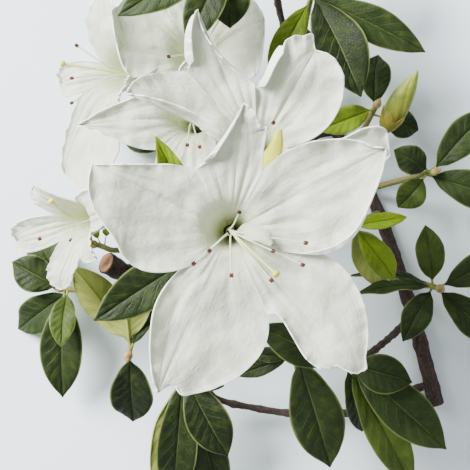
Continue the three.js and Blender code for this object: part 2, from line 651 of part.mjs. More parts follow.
// The masses of leaves. hub is the end of the twig that bears them, and from says where that
// twig meets its limb.
const WHORLS = {
  under: {
    from: ["flower_twig", 0.6],
    via: [[-8, 27, 8]],
    hub: [-20, 32, 4.5],
    leaves: [
      { tip: [-40, 35, 1], width: 11 },
      { tip: [-47, 45, 1.5], width: 13 },
      { tip: [-18, 64, 1], width: 12 },
    ],
  },
  truss: {
    from: ["flower_twig", 0.9],
    via: [[-12, 8, 34]],
    hub: [-5.9, -5.3, 44],
    leaves: [
      { tip: [-43.0, -28.2, 50], width: 15 },
      { tip: [-22.4, 28.5, 65], width: 9 },
      { tip: [15.5, -25, 50], width: 12 },
      { tip: [-2.7, -36.2, 46], width: 13 },
    ],
  },
  lower_left: {
    from: ["left_twig", 1],
    hub: [-34.6, -41.3, 24],
    leaves: [
      { tip: [-34.4, -66.6, 12], width: 15 },
      { tip: [-37.4, -17.8, 32], width: 17, roll: 180 },
      { tip: [-54.0, -11.7, 24], width: 13, roll: 180 },
      { tip: [-26.3, -20.5, 16], width: 8 },
    ],
  },
  left_edge: {
    from: ["left_twig", 0.9],
    via: [[-46, -21, 13]],
    hub: [-59.1, -20, 12],
    leaves: [
      { tip: [-59.5, -58.5, 10], width: 15 },
      { tip: [-58.1, -39.6, 21], width: 9 },
      { tip: [-77, -35.2, 1], width: 13 },
      { tip: [-76.8, -10.6, 12], width: 13 },
      { tip: [-71.4, 3.5, 5], width: 12 },
    ],
  },
  lower_middle: {
    from: ["lower_twig", 1],
    hub: [-16.6, -47.8, 24],
    leaves: [
      { tip: [-20.8, -96.5, 11], width: 14 },
      { tip: [-1.0, -77.2, 20], width: 15 },
      { tip: [-3.4, -102.5, 1.2], width: 14 },
      { tip: [-2.2, -51.9, 28], width: 6 },
      { tip: [-25.9, -95.4, 8], width: 11, roll: 160 },
    ],
  },
  middle: {
    from: ["lower_twig", 0.45],
    via: [[24, -50, 18]],
    hub: [21.8, -40.3, 30],
    leaves: [
      { tip: [33.8, -80.1, 24], width: 18 },
      { tip: [7.5, -40.7, 26], width: 5 },
      { tip: [33.6, -59.6, 18], width: 8 },
      { tip: [2.1, -49.3, 20], width: 6 },
    ],
  },
  right_lower: {
    from: ["right_twig", 1],
    hub: [37.8, -43.8, 34],
    leaves: [
      { tip: [8.9, -30.2, 42], width: 13 },
      { tip: [58.9, -48.9, 40], width: 13 },
      { tip: [71.6, -72.3, 32], width: 16 },
      { tip: [45.4, -69.0, 18], width: 8 },
      { tip: [62.3, -87.5, 20], width: 13 },
    ],
  },
  right_middle: {
    from: ["main_stem", 0.5],
    hub: [39.4, 1.8, 40],
    leaves: [
      { tip: [55.6, 4.5, 50], width: 5 },
      { tip: [54.3, -16.1, 32], width: 9 },
      { tip: [52.8, -20.0, 22], width: 12, roll: 180 },
    ],
  },
  right_edge: {
    from: ["main_stem", 0.32],
    hub: [70.9, -19.3, 22],
    leaves: [
      { tip: [42.7, -21.1, 26], width: 6, roll: 50 },
      { tip: [41.7, -15.5, 14], width: 6, roll: 60 },
      { tip: [58.0, -37.0, 27], width: 10 },
      { tip: [99.5, -6.3, 20], width: 12 },
      { tip: [94.6, -38.1, 12], width: 12 },
      { tip: [66.1, 2.2, 24], width: 10 },
    ],
  },
  right_upper: {
    from: ["main_stem", 0.56],
    hub: [69.2, 20.5, 20],
    leaves: [
      { tip: [55.5, 27.7, 24], width: 10 },
      { tip: [57.8, 8.5, 18], width: 10 },
      { tip: [97.1, 11.0, 16], width: 13 },
      { tip: [89.2, 41.8, 20], width: 12 },
    ],
  },
  behind: {
    from: ["main_stem", 0.68],
    hub: [50.6, 43.6, 14],
    leaves: [
      { tip: [38.5, 41.5, 20], width: 9 },
      { tip: [52.3, 62.8, 8], width: 11 },
      { tip: [66.5, 36.2, 8], width: 10 },
    ],
  },
  top_right: {
    from: ["main_stem", 1],
    hub: [26.9, 79.1, 34],
    leaves: [
      { tip: [42.6, 43.9, 38], width: 17 },
      { tip: [65.0, 60.0, 30], width: 12 },
      { tip: [13.3, 51.9, 26], width: 10 },
      { tip: [34.9, 114.2, 30], width: 13 },
      { tip: [55.9, 99.2, 24], width: 13 },
      { tip: [8.1, 109.2, 30], width: 12 },
    ],
  },
  top: {
    from: ["top_twig", 1],
    hub: [-1.7, 85.5, 50],
    leaves: [
      { tip: [-13.5, 58.6, 54], width: 12 },
      { tip: [-0.1, 64.8, 46], width: 14 },
      { tip: [-35.4, 67.8, 50], width: 13 },
      { tip: [-29.0, 103.1, 44], width: 13 },
      { tip: [1.4, 120.6, 40], width: 13 },
      { tip: [22.2, 104.1, 46], width: 12 },
    ],
  },
  sprout: {
    from: ["left_twig", 0.5],
    via: [[-37, -6, 20]],
    hub: [-46.5, -4.5, 18],
    leaves: [
      { tip: [-51, 0.2, 19], width: 3 },
      { tip: [-47.5, 3, 18.5], width: 3 },
      { tip: [-42.5, 1, 16], width: 3 },
    ],
  },
};

for (const [name, { from, via, hub, leaves }] of Object.entries(WHORLS)) {
  const points = [...(via ?? []).map((p) => v(...p)), v(...hub)];
  addNode("leaves_" + name, whorl(lineFrom(...from, points), WHORL_RADIUS, leaves), "leaf");
}

// A flower bud at the right, and the stub of a pruned branch at the left.
const BUD = { from: ["main_stem", 0.6], foot: [52.4, 34.1, 21], tip: [62.3, 53.7, 32], width: 9 };
const STUB = { from: ["left_twig", 0.8], via: [-37, -14.5, 7], end: [-43.5, -11, 13], radii: [2.4, 4] };

function buds() {
  const foot = v(...BUD.foot);
  const axis = v(...BUD.tip).sub(foot);
  const body = new THREE.SphereGeometry(1, 10, 8);
  body.scale(BUD.width / 2, BUD.width / 2, axis.length() / 2).translate(0, 0, axis.length() / 2);
  const line = [...lineFrom(...BUD.from, [foot]), foot.clone().addScaledVector(axis, 0.1)];
  const stalk = limb(line, 1.2, 1.4, 6, 4);
  return [aimed(body, axis, foot), stalk];
}

addNode("flower_bud", buds(), "bud");
const stubLine = lineFrom(...STUB.from, [v(...STUB.via), v(...STUB.end)]);
addNode("pruned_stub", [limb(stubLine, ...STUB.radii, 9, 6)], "bark");

branch.position.set(SHIFT_X, SHIFT_Y, SHIFT_Z);

export default branch;
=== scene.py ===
"""Looks of a cut azalea branch that lies on a pale surface with its white blooms facing up."""

import math

import bpy
import numpy as np
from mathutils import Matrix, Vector, noise


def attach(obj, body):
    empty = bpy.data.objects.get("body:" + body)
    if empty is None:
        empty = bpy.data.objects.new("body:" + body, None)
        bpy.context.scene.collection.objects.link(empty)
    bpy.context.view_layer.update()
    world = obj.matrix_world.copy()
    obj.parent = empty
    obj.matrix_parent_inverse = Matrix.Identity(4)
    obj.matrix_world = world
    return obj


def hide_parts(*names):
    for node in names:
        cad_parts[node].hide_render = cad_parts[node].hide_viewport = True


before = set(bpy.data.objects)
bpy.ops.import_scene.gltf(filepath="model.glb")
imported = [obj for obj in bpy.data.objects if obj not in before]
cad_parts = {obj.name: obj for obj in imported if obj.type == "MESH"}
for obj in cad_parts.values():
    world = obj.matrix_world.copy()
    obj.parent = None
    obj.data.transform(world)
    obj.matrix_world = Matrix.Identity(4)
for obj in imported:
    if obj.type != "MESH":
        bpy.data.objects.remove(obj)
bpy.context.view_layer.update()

bl_info = {
    "name": "Flowering azalea branch",
    "version": (1, 0, 0),
    "blender": (4, 5, 0),
    "location": "3D View > Sidebar > Azalea",
    "description": "Builds a cut azalea branch with open white blooms, leaves and bark",
    "category": "Add Mesh",
}

# The layout is in millimetres round the throat of the front bloom. MM turns it into metres, and
# LAYOUT_SHIFT moves the middle of the branch's underside to the origin. CLEAR is the gap between
# a piece and what bears it.
MM = 0.001
LAYOUT_SHIFT = np.array((-11.16, -9.01, -0.4))
CLEAR = 0.35
BODY = "root"

# Sizes of a bloom's tube, shared by every bloom, and of stalks and shoots. A throat's own green-yellow,
# made lighter as a painted glow, fades over THROAT_GLOW.
TUBE_DEPTH = 27
TUBE_RADIUS = 2.3
TUBE_FLARE = 2.8
TUBE_FOOT_RADIUS = 1.5
THROAT_GLOW = 3.4
CALYX_BORE = TUBE_RADIUS + 0.9
STYLE_RADIUS = 0.48
FILAMENT_RADIUS = 0.27
STALK_RADIUS = 0.8
PETIOLE = 3.5
WHORL_RADIUS = 1.05


def lobe(tip, left, right, rise, droop, lifts=(0, 0), ripple=0, swells=(), rolls=(0, 0), rolled=(0.8, 1)):
    """One of a bloom's five lobes. Its tip and the handles of its left and right margins are (turn
    in degrees, reach) round the throat, and left is the anticlockwise side. Each margin is a curve
    from its notch to the tip. rise lifts the lobe, droop lowers its tip, and lifts raise its left
    and right margins. swells are (side, share along it, size, width) where a margin stands out or
    is nicked. rolls is how far its left and right margins roll inwards, and rolled the share of
    the width where that begins and the share along the lobe where it ends."""
    return {
        "tip": tip, "left": left, "right": right, "rise": rise, "droop": droop, "lifts": lifts,
        "ripple": ripple, "swells": swells, "rolls": rolls, "rolled": rolled,
    }


FRONT = {
    "notches": [(-21, 15.4), (62, 19.3), (118, 20.5), (227, 7.5), (294, 26.8)],
    "lobes": [
        lobe((28, 50.2), [(57, 34), (37, 45.5)], [(-20, 36.8), (6, 43.5)], 6, 2, (1, 2), 0.5,
             swells=[("left", 0.9, -1.4, 0.09), ("right", 0.7, -1.6, 0.18)], rolls=(0, 0.9)),
        lobe((84, 36.9), [(103, 22.3), (87, 31.5)], [(67, 26), (74, 35)], 3, 1, (0.5, 0), 0.2,
             swells=[("right", 0.4, 4, 0.09)], rolls=(1.5, 0), rolled=(0.15, 1)),
        lobe((154, 43.8), [(225, 32.4), (180, 44.7)], [(130, 26.8), (150, 36.5)], 6, 2, (2, 0), 0.4,
             swells=[("left", 0.38, 1, 0.12), ("left", 0.64, -2.4, 0.13)]),
        lobe((246, 50.4), [(290, 42.6), (260, 51)], [(206, 28.9), (238, 45.4)], 7, 3, (-2, 1), 0.5,
             swells=[("left", 0.93, -4.2, 0.065), ("right", 0.36, 1.5, 0.14)]),
        lobe((312, 54.9), [(358, 37.5), (327, 53)], [(312, 26.7), (291, 47.6)], 6, 5, (-2, 1.5), 0.4,
             swells=[("right", 0.52, 2.2, 0.12), ("right", 0.84, -1.6, 0.06), ("right", 0.93, -4, 0.05),
                     ("left", 0.95, 2.5, 0.04)]),
    ],
}
UPPER = {
    "notches": [(-55, 11.8), (6, 7.4), (93, 19.2), (132, 32.2), (166, 6.9)],
    "lobes": [
        lobe((-2, 40.5), [(-8, 28), (27, 39)], [(-28, 26.3), (-15, 35.7)], 3, 3, (1, 0), 0.4,
             swells=[("left", 0.8, 2, 0.1)]),
        lobe((60, 34.5), [(86, 27), (74, 43.5)], [(4, 28.5), (42, 41.5)], 5, 2, (1, 1), 0.5,
             swells=[("left", 0.22, -3, 0.12), ("left", 0.9, 2.2, 0.06)], rolls=(2.6, 0),
             rolled=(0.6, 0.55)),
        lobe((114, 44.8), [(127, 38), (121, 44)], [(110, 27), (119, 36)], 6, -1, (1, 0), 0.3,
             rolls=(1.2, 0), rolled=(0.55, 1)),
        lobe((157, 43.6), [(143, 25.3), (156, 39.2)], [(145, 41.5), (151, 43.3)], 4, 3, (0, 1), 0.3),
        lobe((236, 15), [(262, 14), (247, 15)], [(210, 11), (225, 15)], 1, 4),
    ],
}
INNER = {
    "notches": [(55, 8), (120, 8.8), (227, 14.7), (315, 11.5), (365, 9.6)],
    "lobes": [
        lobe((88, 18), [(112, 14), (98, 17)], [(62, 13), (78, 17)], 1, 2),
        lobe((185, 36.3), [(212, 22.8), (190, 26.7)], [(159, 21.3), (181, 29.1)], 3, 3, (0, 1), 0.4),
        lobe((263, 25.5), [(294, 20.3), (279, 25.1)], [(236, 21.6), (249, 25.6)], 3, 2, (1, 0), 0.3),
        lobe((340, 14), [(358, 13), (348, 14)], [(322, 13), (332, 14)], 0, 6),
        lobe((390, 16), [(410, 12), (398, 15)], [(370, 13), (381, 15)], 0, 6),
    ],
}
TOP = {
    "notches": [(-22, 11), (56, 13), (122, 13), (203, 13), (268, 11)],
    "lobes": [
        lobe((24, 25), [(62, 26), (42, 27)], [(-45, 31), (2, 23)], 3, 3, (1, 0), 0.4),
        lobe((90, 28), [(128, 22), (105, 28)], [(52, 22), (75, 28)], 3, 3, (1, 0), 0.4),
        lobe((158, 29), [(222, 30), (192, 25)], [(112, 24), (130, 30)], 5, -3, (3, 0), 0.4),
        lobe((235, 20), [(268, 17), (250, 20)], [(205, 17), (222, 20)], 2, 3, (1, 0), 0.4),
        lobe((300, 17), [(330, 14), (312, 17)], [(270, 14), (288, 17)], 2, 3, (1, 0), 0.4),
    ],
}
SIDE = {
    "notches": [(27, 6), (150, 8), (200, 11), (261, 8.9), (320, 8.7)],
    "lobes": [
        lobe((89, 27), [(130, 16), (112, 26)], [(44, 15), (66, 23)], 2, 1, (0, 1), 0.3),
        lobe((184, 24), [(208, 20), (197, 25)], [(160, 19), (172, 24)], 2, 2, (0, 1), 0.3),
        lobe((236, 40), [(312, 36), (272, 56)], [(222, 17), (228, 30)], 2, 3, (0, 1), 0.3),
        lobe((290, 14), [(308, 13), (298, 14)], [(272, 13), (282, 14)], 0, 3),
        lobe((352, 11), [(376, 9), (364, 11)], [(328, 10), (340, 11)], 0, 2),
    ],
}
LEFT = {
    "notches": [(-16, 6.5), (95, 6.5), (165, 9), (225, 9), (300, 7)],
    "lobes": [
        lobe((15, 27.7), [(53, 14.9), (41, 24.5)], [(-14, 13.5), (3, 22.6)], 1, 1, (0, 1), 0.3),
        lobe((140, 19), [(156, 16), (148, 19)], [(120, 14), (130, 19)], 2, 2, (0, 1), 0.3),
        lobe((195, 26), [(216, 20), (206, 26)], [(174, 20), (184, 26)], 2, 2, (0, 1), 0.3),
        lobe((260, 22), [(286, 17), (273, 22)], [(236, 18), (247, 22)], 2, 2, (0, 1), 0.3),
        lobe((318, 16), [(342, 12), (332, 16)], [(294, 13), (304, 17)], 1, 2, (0, 0), 0.2),
    ],
}

# throat is where a bloom opens, face its way as (turn, rise), limb what bears its stalk, and via the
# places that the stalk passes. grid is the columns and rows of a lobe's sheet, and fused the share of
# the rows below the notches. ends are those of its style and then its filaments, and flap is a stamen
# that is like a petal.
BLOOMS = {
    "front": {
        "shape": FRONT, "throat": (0, 0, 76), "face": (0, 90), "limb": ("flower_twig", 1),
        "fused": 0.3, "grid": (40, 64),
        "ends": [(-43, 17.5, 6), (-136, 8.2, 2), (-138, 14, 3), (-88, 12.7, 4), (-50, 18.5, 3),
                 (-25, 13.6, 5), (-9, 21.9, 5), (-25, 22.9, 5), (63, 6, 4)],
        "flap": {"points": [(0, 3.5, -3), (-4, 8, 2), (-18, 12.5, 3)], "width": 6, "yellow": False},
    },
    "upper": {
        "shape": UPPER, "throat": (8.5, 24.8, 60), "face": (60, 88), "limb": ("flower_twig", 0.84),
        "fused": 0.375, "grid": (36, 56), "ends": [(150, 6.5, 3), (95, 8, 4), (60, 9, 4), (200, 7, 3)],
        "flap": {"points": [(-75, 4, -4), (-8, 4.8, 2), (42, 8.5, 5)], "width": 7.5, "yellow": True},
    },
    "inner": {
        "shape": INNER, "throat": (-12.7, 36.6, 50), "face": (150, 85), "limb": ("flower_twig", 0.9),
        "fused": 3 / 7, "grid": (30, 48), "ends": [(150, 6, 3), (165, 6.5, 4), (268, 10, 4), (288, 11, 3)],
    },
    "top": {
        "shape": TOP, "throat": (-11.6, 59.4, 35), "face": (100, 76), "limb": ("flower_twig", 0.75),
        "fused": 3 / 7, "grid": (30, 48), "ends": [(80, 8, 3), (200, 9, 3), (320, 8, 3)],
    },
    "upper_left": {
        "shape": SIDE, "throat": (-41.3, 54, 30.5), "face": (175, 45), "limb": ("flower_twig", 0.95),
        "via": [(-17, 30, 16)],
        "fused": 3 / 7, "grid": (30, 48), "ends": [(170, 12, 9), (130, 10, 8), (200, 9, 8), (235, 14, 8)],
    },
    "left": {
        "shape": LEFT, "throat": (-53.7, 2.4, 38), "face": (195, 50), "limb": ("left_twig", 0.6),
        "fused": 3 / 7, "grid": (30, 48), "ends": [(90, 8, 5), (210, 9, 5), (330, 8, 5)],
    },
}

# Woody limbs. limb says what bears a twig and how far along it, and radii taper to its end.
LIMBS = {
    "main_stem": {
        "points": [(74, -62, 3.2), (63, -22, 4), (51, 12, 3.4), (37, 38, 4), (29, 58, 9), (26, 69, 18)],
        "radii": (2.8, 1.6),
    },
    "flower_twig": {
        "limb": ("main_stem", 0.74), "points": [(18, 31, 12), (4, 23, 19), (-3, 19, 25)],
        "radii": (1.7, 1.4),
    },
    "left_twig": {
        "limb": ("flower_twig", 0.8), "points": [(-13, 6, 17), (-27, -8, 14), (-31, -24, 15)],
        "radii": (1.3, 1.1),
    },
    "lower_twig": {
        "limb": ("main_stem", 0.05),
        "points": [(48, -64, 5), (24, -65, 6), (0, -61, 8), (-9, -56, 13)], "radii": (1.5, 1.1),
    },
    "right_twig": {
        "limb": ("main_stem", 0.22), "points": [(54, -38, 16), (45, -43, 25)], "radii": (1.3, 1.1),
    },
    "top_twig": {
        "limb": ("main_stem", 0.8), "points": [(19, 70, 16), (13, 85, 32), (4, 88, 45)],
        "radii": (1.3, 1.1),
    },
}
STUB = {"limb": ("left_twig", 0.8), "points": [(-37, -14.5, 7), (-43.5, -11, 13)], "radii": (2.4, 4)}
BUD = {"limb": ("main_stem", 0.6), "foot": (52.4, 34.1, 21), "tip": (62.3, 53.7, 32), "width": 9}

# Masses of leaves, each on a shoot that ends at the last of its points. A leaf is the place of its
# tip, its width, its roll in degrees (180 shows its underside) and its tone, from 0 for dark to 1
# for young lime.
WHORLS = {
    "under": {
        "limb": ("flower_twig", 0.6), "points": [(-8, 27, 8), (-20, 32, 4.5)],
        "leaves": [(-40, 35, 1, 11, 0, 0.3), (-47, 45, 1.5, 13, 0, 0.3), (-18, 64, 1, 12, 0, 0.3)],
    },
    "truss": {
        "limb": ("flower_twig", 0.9), "points": [(-12, 8, 34), (-5.9, -5.3, 44)],
        "leaves": [(-43, -28.2, 50, 15, 0, 0.18), (-22.4, 28.5, 65, 9, 0, 1),
                   (15.5, -25, 50, 12, 0, 0.3), (-2.7, -36.2, 46, 13, 0, 0.3)],
    },
    "lower_left": {
        "limb": ("left_twig", 1), "points": [(-34.6, -41.3, 24)],
        "leaves": [(-34.4, -66.6, 12, 15, 0, 0.05), (-37.4, -17.8, 32, 17, 180, 0.5),
                   (-54, -11.7, 24, 13, 180, 0.6), (-25.5, -22.5, 14, 6, 0, 0.3)],
    },
    "left_edge": {
        "limb": ("left_twig", 0.9), "points": [(-46, -21, 13), (-59.1, -20, 12)],
        "leaves": [(-59.5, -58.5, 10, 15, 0, 0.3), (-58.1, -39.6, 21, 9, 0, 0.6),
                   (-77, -35.2, 1, 13, 0, 0.3), (-76.8, -10.6, 12, 13, 0, 0.3),
                   (-71.4, 3.5, 5, 12, 0, 0.4)],
    },
    "lower_middle": {
        "limb": ("lower_twig", 1), "points": [(-16.6, -47.8, 24)],
        "leaves": [(-20.8, -96.5, 11, 14, 0, 0.15), (-1, -77.2, 20, 15, 0, 0.1),
                   (-3.4, -102.5, 1.2, 14, 0, 0.25), (-2.2, -51.9, 28, 6, 0, 0.3),
                   (-25.9, -95.4, 8, 11, 160, 0.5)],
    },
    "middle": {
        "limb": ("lower_twig", 0.45), "points": [(24, -50, 18), (21.8, -40.3, 30)],
        "leaves": [(33.8, -80.1, 24, 18, 0, 0.3), (7.5, -40.7, 26, 5, 0, 0.3),
                   (33.6, -59.6, 18, 8, 0, 0.7), (2.1, -49.3, 20, 6, 0, 0.3)],
    },
    "right_lower": {
        "limb": ("right_twig", 1), "points": [(37.8, -43.8, 34)],
        "leaves": [(8.9, -30.2, 42, 13, 0, 0.3), (58.9, -48.9, 40, 13, 0, 0.35),
                   (71.6, -72.3, 32, 16, 0, 0.5), (45.4, -69, 18, 8, 0, 0.25),
                   (62.3, -87.5, 20, 13, 0, 0.62)],
    },
    "right_middle": {
        "limb": ("main_stem", 0.5), "points": [(39.4, 1.8, 40)],
        "leaves": [(55.6, 4.5, 50, 5, 0, 1), (54.3, -16.1, 32, 9, 0, 0.85),
                   (52.8, -20, 22, 12, 180, 0.6)],
    },
    "right_edge": {
        "limb": ("main_stem", 0.32), "points": [(70.9, -19.3, 22)],
        "leaves": [(42.7, -21.1, 26, 6, 50, 0.5), (41.7, -15.5, 14, 6, 60, 0.5),
                   (58, -37, 27, 10, 0, 0.3), (99.5, -6.3, 20, 12, 0, 0.3),
                   (94.6, -38.1, 12, 12, 0, 0.3), (66.1, 2.2, 24, 10, 0, 0.6)],
    },
    "right_upper": {
        "limb": ("main_stem", 0.56), "points": [(69.2, 20.5, 20)],
        "leaves": [(55.5, 27.7, 24, 10, 0, 0.3), (57.8, 8.5, 18, 10, 0, 0.6),
                   (97.1, 11, 16, 13, 0, 0.4), (89.2, 41.8, 20, 12, 0, 0.4)],
    },
    "behind": {
        "limb": ("main_stem", 0.68), "points": [(50.6, 43.6, 14)],
        "leaves": [(29.5, 34.5, 22, 9, 0, 0.85), (52.3, 62.8, 8, 11, 0, 0.3),
                   (66.5, 36.2, 8, 10, 0, 0.3)],
    },
    "top_right": {
        "limb": ("main_stem", 1), "points": [(26.9, 79.1, 34)],
        "leaves": [(42.6, 43.9, 38, 17, 0, 0.1), (65, 60, 30, 12, 0, 0.42),
                   (13.3, 51.9, 26, 10, 0, 0.75), (34.9, 114.2, 30, 13, 0, 0.5),
                   (55.9, 99.2, 24, 13, 0, 0.4), (8.1, 109.2, 30, 12, 0, 0.4)],
    },
    "top": {
        "limb": ("top_twig", 1), "points": [(-1.7, 85.5, 50)],
        "leaves": [(-13.5, 58.6, 54, 12, 0, 0.2), (-0.1, 64.8, 46, 14, 0, 0.25),
                   (-35.4, 67.8, 50, 13, 0, 0.4), (-29, 103.1, 44, 13, 0, 0.4),
                   (1.4, 120.6, 40, 13, 0, 0.5), (22.2, 104.1, 46, 12, 0, 0.3)],
    },
    "sprout": {
        "limb": ("left_twig", 0.5), "points": [(-37, -6, 20), (-46.5, -4.5, 18)],
        "leaves": [(-51, 0.2, 19, 3, 0, 1), (-47.5, 3, 18.5, 3, 0, 0.9), (-42.5, 1, 16, 3, 0, 0.9)],
    },
}

# The stage, in metres, with the camera's lens in millimetres. The camera looks straight down at the
# blooms, and the lamps at LAMP_AIM. A lamp has its place, its size and its colour.
CAMERA_PLACE = (-0.00971, -0.01017, 0.3756)
CAMERA_LENS = 79.28
FLOOR_SIZE = 12
FLOOR_TOP = -0.0002
LAMP_AIM = (0, 0, 0.04)
KEY_LAMP = ((-0.9, 0.65, 0.8), 0.8, (1.0, 0.985, 0.95))
FILL_LAMP = ((0.7, -0.6, 0.9), 1.2, (0.93, 0.97, 1.0))
SKY_COLOUR = (0.95, 0.975, 1.0, 1)

# Points of a mesh that are closer than these gaps, in metres, are merged: those of one closed skin,
# and those of neighbouring lobes.
SKIN_GAP = 1e-6
LOBE_GAP = 2e-5


# LINES AND POINTS


def triples(x, y, z):
    """Points or vectors from their three parts, each an array or one number for all."""
    return np.stack(np.broadcast_arrays(x, y, z), axis=-1).astype(float)


def ring(angle, reach, z):
    """Points at angles in radians round the axis and reaches from it."""
    return triples(reach * np.cos(angle), reach * np.sin(angle), z)


def polar(turn, reach, z=0):
    """Points at turns in degrees round the axis and reaches from it."""
    return ring(np.radians(turn), reach, z)


def heading(turn, rise):
    return polar(turn, math.cos(math.radians(rise)), math.sin(math.radians(rise)))


def unit(direction):
    return direction / np.linalg.norm(direction, axis=-1, keepdims=True)


def lerp(start, end, share):
    return start + (end - start) * share


def smooth(t):
    t = np.clip(t, 0, 1)
    return t * t * (3 - 2 * t)


def bell(value, middle, width):
    """1 at the middle, and falling away on both sides of it."""
    return np.exp(-((value - middle) / width) ** 2)


def distances(line):
    """How far along a line each of its places is."""
    return np.concatenate([[0], np.cumsum(np.linalg.norm(np.diff(line, axis=0), axis=1))])


def spline(points, count):
    """Places evenly spaced along a smooth line through the points."""
    points = np.array(points, float)
    first = 2 * points[0] - points[1]
    last = 2 * points[-1] - points[-2]
    all_points = np.vstack([first, points, last])
    t = np.linspace(0, 1, 60, endpoint=False)[:, None]
    pieces = []
    for i in range(len(points) - 1):
        a, b, c, d = all_points[i:i + 4]
        leave = (c - a) / 2
        arrive = (d - b) / 2
        cubic = 2 * b - 2 * c + leave + arrive
        square = -3 * b + 3 * c - 2 * leave - arrive
        pieces.append(cubic * t ** 3 + square * t ** 2 + leave * t + b)
    dense = np.vstack(pieces + [points[-1:]])
    travelled = distances(dense)
    even = np.linspace(0, travelled[-1], count)
    return np.stack([np.interp(even, travelled, part) for part in dense.T], axis=-1)


def even_line(points, step, least):
    """A smooth line through the points with a place about every step, and no fewer than least."""
    length = distances(spline(points, 100))[-1]
    return spline(points, max(least, int(length / step)))


def taper(line, start, end):
    """Radii that go evenly from start to end along a line."""
    return np.linspace(start, end, len(line))


def joint(name, share, target):
    """A point clear of a limb's bark on the side that faces target, and the way out from there."""
    line = spline(limb_line(name), 401)
    last = len(line) - 1
    at = round(share * last)
    along = unit(line[min(at + 1, last)] - line[max(at - 1, 0)])
    if share == 1:
        return line[at] + along * CLEAR, along
    out = np.array(target, float) - line[at]
    out = unit(out - along * out.dot(along))
    return line[at] + out * (lerp(*LIMBS[name]["radii"], share) + CLEAR), out


def line_from(limb, points):
    """The points of a line that leaves a limb squarely."""
    foot, out = joint(*limb, points[0])
    return [foot, foot + 2 * out] + [np.array(p, float) for p in points]


def limb_line(name):
    spec = LIMBS[name]
    if "limb" in spec:
        return line_from(spec["limb"], spec["points"])
    return [np.array(p, float) for p in spec["points"]]


def rough(points, size):
    """Smooth random heights between -1 and 1 for points in millimetres."""
    return np.array([noise.noise(Vector(p)) for p in np.asarray(points) / size])


def bumps(height, size):
    """The relief of soft bark: bumps of that height and size, the same all along a tube."""
    return lambda points, along: height * rough(points, size)


# MESHES


def choose(pieces):
    bpy.ops.object.select_all(action="DESELECT")
    for piece in pieces:
        piece.select_set(True)
    bpy.context.view_layer.objects.active = pieces[0]


def weld(piece, gap, outwards=True):
    """Merges points that are closer than gap in metres, and turns a closed piece's faces outwards."""
    choose([piece])
    bpy.ops.object.mode_set(mode="EDIT")
    bpy.ops.mesh.select_all(action="SELECT")
    bpy.ops.mesh.remove_doubles(threshold=gap)
    if outwards:
        bpy.ops.mesh.normals_make_consistent(inside=False)
    bpy.ops.object.mode_set(mode="OBJECT")


def note(piece, name, values):
    """Keeps one number or vector for each vertex, for its material to read."""
    values = np.asarray(values, float)
    kind, field = ("FLOAT", "value") if values.ndim == 1 else ("FLOAT_VECTOR", "vector")
    attribute = piece.data.attributes.new(name, kind, "POINT")
    attribute.data.foreach_set(field, values.ravel())


def sheet(columns, rows, formula):
    """A grid whose points formula places, from their shares across and along, in millimetres."""
    bpy.ops.mesh.primitive_grid_add(x_subdivisions=columns, y_subdivisions=rows, size=1)
    piece = bpy.context.object
    places = np.zeros(len(piece.data.vertices) * 3)
    piece.data.vertices.foreach_get("co", places)
    places = places.reshape(-1, 3)
    points, notes = formula(places[:, 0] + 0.5, places[:, 1] + 0.5)
    piece.data.vertices.foreach_set("co", ((points + LAYOUT_SHIFT) * MM).ravel())
    for name, values in notes.items():
        note(piece, name, values)
    return piece


def closed_sheet(columns, rows, formula):
    """A sheet whose sides and ends meet, as one closed skin."""
    piece = sheet(columns, rows, formula)
    weld(piece, SKIN_GAP)
    return piece


def tube(line, radii, sides, relief=None):
    """A closed round body along a line, with a radius at each of its places."""
    ways = unit(np.gradient(line, axis=0))
    normal = unit(np.cross(ways[0], (0.31, 0.24, 0.92)))
    normals = []
    for way in ways:
        normal = unit(normal - way * normal.dot(way))
        normals.append(normal)
    normals = np.array(normals)
    binormals = np.cross(ways, normals)
    travelled = distances(line)
    last = len(line) - 1

    def formula(u, v):
        row = np.rint(v * last).astype(int)
        angle = 2 * math.pi * u
        aside = normals[row] * np.cos(angle)[:, None] + binormals[row] * np.sin(angle)[:, None]
        points = line[row] + aside * radii[row][:, None]
        if relief:
            points = points + aside * relief(points, row / last)[:, None]
        return points, {"run": ring(angle, 3, travelled[row])}

    return closed_sheet(sides, last, formula)


def dome(place, way, radius, reach):
    """Places and radii of a dome on a tube's end, from its rim to its top."""
    turns = np.radians([30, 60, 90])
    places = [place + way * radius * reach * math.sin(t) for t in turns]
    return places, [radius * math.cos(t) for t in turns[:2]] + [0]


def rounded(line, radii, reach=0.6):
    """A tube's line and radii, with a dome added at both ends."""
    line = np.asarray(line, float)
    head, head_radii = dome(line[0], unit(line[0] - line[1]), radii[0], reach)
    tail, tail_radii = dome(line[-1], unit(line[-1] - line[-2]), radii[-1], reach)
    return np.vstack([head[::-1], line, tail]), np.concatenate([head_radii[::-1], radii, tail_radii])


def rod(line, radii, sides, *materials, relief=None, reach=0.6):
    """A tube with domed ends, in its materials."""
    return dress(tube(*rounded(line, radii, reach), sides, relief), *materials)


def thicken(piece, thickness, materials=3):
    """Turns a thin sheet into a leaf or petal with a face on each side and a rim."""
    choose([piece])
    shell = piece.modifiers.new("shell", "SOLIDIFY")
    shell.thickness = thickness * MM
    shell.offset = 0
    shell.use_even_offset = False
    shell.material_offset = 1 if materials > 1 else 0
    shell.material_offset_rim = 2 if materials > 2 else 0
    bpy.ops.object.modifier_apply(modifier=shell.name)


def dress(piece, *materials):
    """Gives a piece its materials, and all its faces the first of them."""
    for material in materials:
        piece.data.materials.append(material)
    return piece


